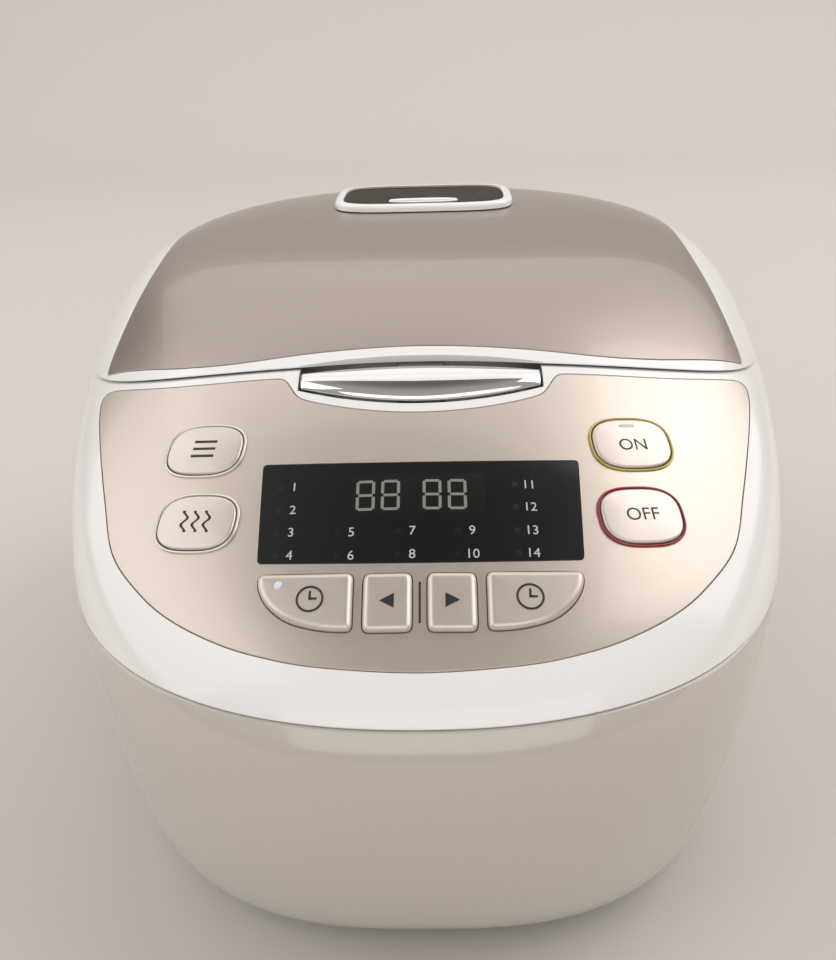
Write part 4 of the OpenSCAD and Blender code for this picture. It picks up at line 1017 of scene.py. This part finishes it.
# steam cap
def makeCap():
    c = capSize
    out, neck, well = capEdge(0, c["square"]), capEdge(c["neck"], 5), capEdge(c["well"], 5)
    hub = oval(c["hub"], c["hub"], 2, 144) + [0, c["y"]]
    top, lip, down = c["top"], c["lip"], c["shoulder"]
    rows = layers((neck, c["low"]), (neck, c["under"]), (out, c["under"]))
    rows += roundedTop(out, top, c["edge"], 6)
    rows += [flatRow(grow(out, -c["rim"] + lip * math.cos(a)), top - lip * (1 - math.sin(a)))
             for a in np.radians([90, 60, 30, 0])]
    rows += layers((grow(out, -c["rim"]), top - down), (well, top - down - 0.1), (well, c["floor"]),
                   (hub, c["floor"]), (hub, c["low"]))
    return smoothByAngle(loft("capShell", rows, "capWhite", closed=True), 40)


pill = dict(
    y=84.4, width=34.0, depth=9.4, slit=(15.0, 1.0), down=0.15, edge=0.5, deep=2, slitEdge=0.3, gap=0.2,
    hole=(215, 230))


def pillEdge(gap):
    return oval(pill["width"] / 2 + gap, pill["depth"] / 2 + gap, 2.8) + [0, pill["y"]]


def makeCapPill():
    p, edge, top = pill, pillEdge(0), capSize["top"]
    slit = oval(*p["slit"], 5) + [0, p["y"]]
    face, low = top - p["down"], top - p["deep"]
    rows = layers((edge, low)) + roundedTop(edge, face, p["edge"], 4)
    rows += layers((grow(slit, p["slitEdge"]), face), (slit, top - p["down"] - p["slitEdge"]), (slit, low))
    return smoothByAngle(loft("capPill", rows, "capWhite", closed=True), 45)


def makeCapInsert():
    c = capSize
    gap, low, high, r = c["insert"]
    low, high = c["top"] - low, c["top"] - high
    edge = grow(capEdge(0, c["square"]), -c["rim"] - gap)
    hub = np.array([[0, c["y"] + 4]])
    rows = layers((edge, low)) + roundedTop(edge, high, r, 4)
    rows += [flatRow(hub + (grow(edge, -r) - hub) * f, high) for f in (0.8, 0.5, 0.2)]
    obj = loft("capInsert", rows, "brownGloss", poles=[[*hub[0], low], [*hub[0], high]])
    return smoothByAngle(cut(obj, prism("slot", pillEdge(pill["gap"]), *pill["hole"], "brownGloss")), 40)


# rear pieces
def barPiece(name, size, cuts=()):
    edge, half = np.array(size["edge"], float), size["half"]
    obj = capped(name, *(np.column_stack([np.full(len(edge), x), edge]) for x in (-half, half)), "ringWhite")
    if "bevel" in size:
        change = obj.modifiers.new("bevel", "BEVEL")
        change.width, change.segments = size["bevel"] * mm, 3
        change.limit_method, change.angle_limit = "ANGLE", math.radians(25)
        bake(obj)
    if cuts:
        cut(obj, *cuts)
    return smoothByAngle(obj, 30)


# side views (y, z) with a half width
hingeCap = dict(
    half=47.6, bevel=0.7,
    edge=[[168.7, 169.4], [168.7, 177.5], [170.6, 180.8], [174, 182.2], [186.5, 182.2], [188.1, 180.6],
          [188.1, 166.7], [183.6, 166.7], [183.6, 169.4]],
    slots=[dict(half=44, edge=[[160, 171], [160, 190], [184.6, 190], [184.6, 171]]),
           dict(half=42, edge=[[160, 160], [160, 190], [182.9, 190], [182.9, 160]])])
dewCup = dict(
    half=36.5, bevel=0.8,
    edge=[[171.5, 129], [173, 127], [186, 127], [188.1, 130], [188.1, 162], [186, 165], [171.5, 165]],
    hollow=((-34.3, 173.3, 129.2), (34.3, 185.7, 180)))


def makeHingeCover():
    return barPiece("hingeCap", hingeCap, [barPiece("slot", slot) for slot in hingeCap["slots"]])


def makeCollector():
    return barPiece("dewCup", dewCup, [block("hollow", *dewCup["hollow"], "ringWhite")])


print("piece makers ready")


# build, place on the bodies
def put(obj, body, slot, *replaced):
    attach(obj, body)
    if replaced:
        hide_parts(*replaced)
    return obj


put(makeLowerShell(), "body", "body_silver", "lower_body")
put(makeUpperRing(), "body", "ring_white", "upper_ring")
put(makeFascia(), "body", "panel_champagne", "control_panel")
put(makeDisplay(), "body", "window_tint", "display_window")
for mark in makeDisplayMarks():
    put(mark, "body", "led_grey")
put(makeNumbers(), "body", "led_grey")
print("shell ready")

for name, (node, body, at, edge, turn) in keys.items():
    put(makeKey(name, at, edge, turn), body, "key_silver", node)
for key, trim, look, slot, node in (
        ("menuKey", "menuTrim", "ringSilver", "trim_silver", "key_trims"),
        ("warmKey", "warmTrim", "ringSilver", "trim_silver", "key_trims"),
        ("startKey", "startTrim", "ringGold", "trim_gold", "start_trim"),
        ("offKey", "offTrim", "ringRed", "trim_red", "off_trim")):
    put(makeTrim(key, trim, look), "body", slot, node)
for sign, key in makeIcons():
    put(sign, keys[key][1], "key_silver")
put(makeDivider(), "body", "part_dark")
put(makeLampSpot("startLamp"), "start_key", "lamp_grey", "start_lamp")
put(makeLampSpot("timerLamp"), "timer_key", "lamp_grey")
print("keys ready")

put(makeLidFrame(), "lid", "ring_white", "lid_frame")
put(makeLidPanel(), "lid", "lid_silver", "lid_panel")
put(makeOpenButton(), "open_key", "button_chrome", "open_button")
put(makeCap(), "cap", "cap_white", "steam_cap")
put(makeCapPill(), "cap", "cap_white", "steam_cap")
put(makeCapInsert(), "cap", "insert_brown", "cap_insert")
put(makeHingeCover(), "body", "ring_white", "hinge_cover")
put(makeCollector(), "collector", "collector_clear", "dew_collector")
print("lid ready")

springs = dict(
    hinge_spring=dict(radius=4.0, length=36.0, turns=10.0, wire=0.7, place=(-18, 175, 177)),
    latch_spring=dict(radius=2.6, length=8.6, turns=5.0, wire=0.45, place=(-8.6, -68, 174.5)))


def makeSpring(name, s):
    values = {"Radius": s["radius"] * mm, "Length": s["length"] * mm, "Turns": s["turns"],
              "Wire": s["wire"] * mm}
    obj = grown(name, pointsMesh(name, []), "coil", values, "springSteel")
    along = Matrix.Rotation(math.radians(90), 4, "Y")
    obj.data.transform(Matrix.Translation(Vector(s["place"]) * mm) @ along)
    return obj


for node, sizes in springs.items():
    put(makeSpring(node.replace("_s", "S"), sizes), "body", "steel", node)

# finishes of the pieces that stay as built
coats = dict(
    darkPlastic=["bottom_cover", "power_inlet", "lid_sensor", "tact_switches", "display_module",
                 "power_parts"],
    blackRubber=["rubber_feet"], brass=["inlet_pins"],
    springSteel=["screws", "sensor_spring", "lid_catch", "latch_pin", "hinge_shaft", "hinge_brackets",
                 "hinge_arms", "sensor_bracket"],
    innerWhite=["inner_deck", "lid_base", "latch_housing", "latch_hook"],
    spunAlloy=["inner_lid", "centre_sensor"], castAlloy=["heating_plate"], nonStick=["inner_pan"],
    brushedAlloy=["well_liner", "lid_plate", "well_rim"], greyRubber=["lid_gasket", "steam_valve"],
    copperTone=["lid_heater", "side_heater", "thermal_fuse"], greenBoard=["control_board", "power_board"],
    wireSleeve=["wiring_harness"])
for material, names in coats.items():
    for name in names:
        repaint(nodes[name].data, finish[material])
print("kept pieces ready")

# stage, light and camera
stageLook = dict(floor=(208, 203, 197), rough=0.85, half=4.0, front=-3.5, bendY=1.6, bend=0.7, top=4.0)


def makeStage():
    mat = bpy.data.materials.new("stagePale")
    mat.use_nodes = True
    shader = mat.node_tree.nodes["Principled BSDF"]
    give(shader, {"Base Color": linear(*stageLook["floor"]), "Roughness": stageLook["rough"]})
    y, r = stageLook["bendY"], stageLook["bend"]
    bend = [(y + r * math.sin(a), r - r * math.cos(a)) for a in np.radians(np.linspace(0, 90, 17))]
    profile = [(stageLook["front"], 0.0)] + bend + [(y + r, stageLook["top"])]
    verts = [(x, y, z) for y, z in profile for x in (-stageLook["half"], stageLook["half"])]
    faces = [(2 * i, 2 * i + 1, 2 * i + 3, 2 * i + 2) for i in range(len(profile) - 1)]
    mesh = newMesh("stage", verts, [], faces, mat)
    mesh.shade_smooth()
    linked("stage", mesh)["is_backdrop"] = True


lamps = dict(
    overhead=dict(place=(0.15, 1.3, 2.3), size=(4.2, 2.2), power=26.0),
    windowRight=dict(place=(2.1, 0.3, 1.9), size=(2.0, 2.6), power=31.0),
    fillLeft=dict(place=(-2.2, -0.3, 1.6), size=(2.8, 2.6), power=27.0),
    fillFront=dict(place=(0.2, -3.0, 1.6), size=(4.2, 2.2), power=33.0))
lampAim = (0, 0, 0.12)
worldLook = dict(
    strength=0.58,
    stops=[(0.0, (176, 171, 167)), (0.3, (206, 204, 202)), (0.62, (228, 228, 230)), (0.9, (214, 211, 208)),
           (1.0, (146, 138, 131))])


def makeLights():
    world = bpy.data.worlds.new("room")
    scene.world = world
    world.use_nodes = True
    back = world.node_tree.nodes["Background"]
    give(back, {"Strength": worldLook["strength"]})
    tree = world.node_tree
    coords, split, sky = newNodes(tree, "ShaderNodeTexCoord", "ShaderNodeSeparateXYZ", "ShaderNodeValToRGB")
    ramp = sky.color_ramp.elements
    first, *inner, last = worldLook["stops"]
    for stop, (height, colour) in zip((ramp[0], ramp[1]), (first, last)):
        stop.position, stop.color = height, linear(*colour)
    for height, colour in inner:
        ramp.new(height).color = linear(*colour)
    connect(tree, (coords, "Generated", split, "Vector"), (split, "Z", sky, "Fac"),
            (sky, "Color", back, "Color"))
    for name, lamp in lamps.items():
        data = bpy.data.lights.new(name, "AREA")
        data.shape, data.energy = "RECTANGLE", lamp["power"]
        data.size, data.size_y = lamp["size"]
        obj = linked(name, data)
        obj.location = lamp["place"]
        obj.rotation_euler = (Vector(lampAim) - Vector(lamp["place"])).to_track_quat("-Z", "Y").to_euler()


cameraLook = dict(lens=34.94, pitch=27.264, roll=-1.65, yaw=-1.724, place=(7.6, -386.0, 309.16))


def makeCamera():
    pitch, roll, yaw = (math.radians(cameraLook[k]) for k in ("pitch", "roll", "yaw"))
    ahead = Vector((math.sin(yaw) * math.cos(pitch), math.cos(yaw) * math.cos(pitch), -math.sin(pitch)))
    right = Vector((math.cos(yaw), -math.sin(yaw), 0))
    up = right.cross(ahead)
    sideways = right * math.cos(roll) + up * math.sin(roll)
    above = -right * math.sin(roll) + up * math.cos(roll)
    turn = Matrix((sideways, above, -ahead)).transposed().to_4x4()
    data = bpy.data.cameras.new("camera")
    data.lens, data.sensor_width, data.sensor_fit = cameraLook["lens"], 36.0, "AUTO"
    data.clip_start, data.clip_end = 0.01, 50
    obj = linked("camera", data)
    obj.matrix_world = Matrix.Translation(Vector(cameraLook["place"]) * mm) @ turn
    scene.camera = obj


makeStage()
makeLights()
makeCamera()
scene.view_settings.view_transform = "Standard"
print("stage ready")

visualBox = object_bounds()
sizes = {"cad": [list(c) for c in cadBox], "visual": [list(c) for c in visualBox]}
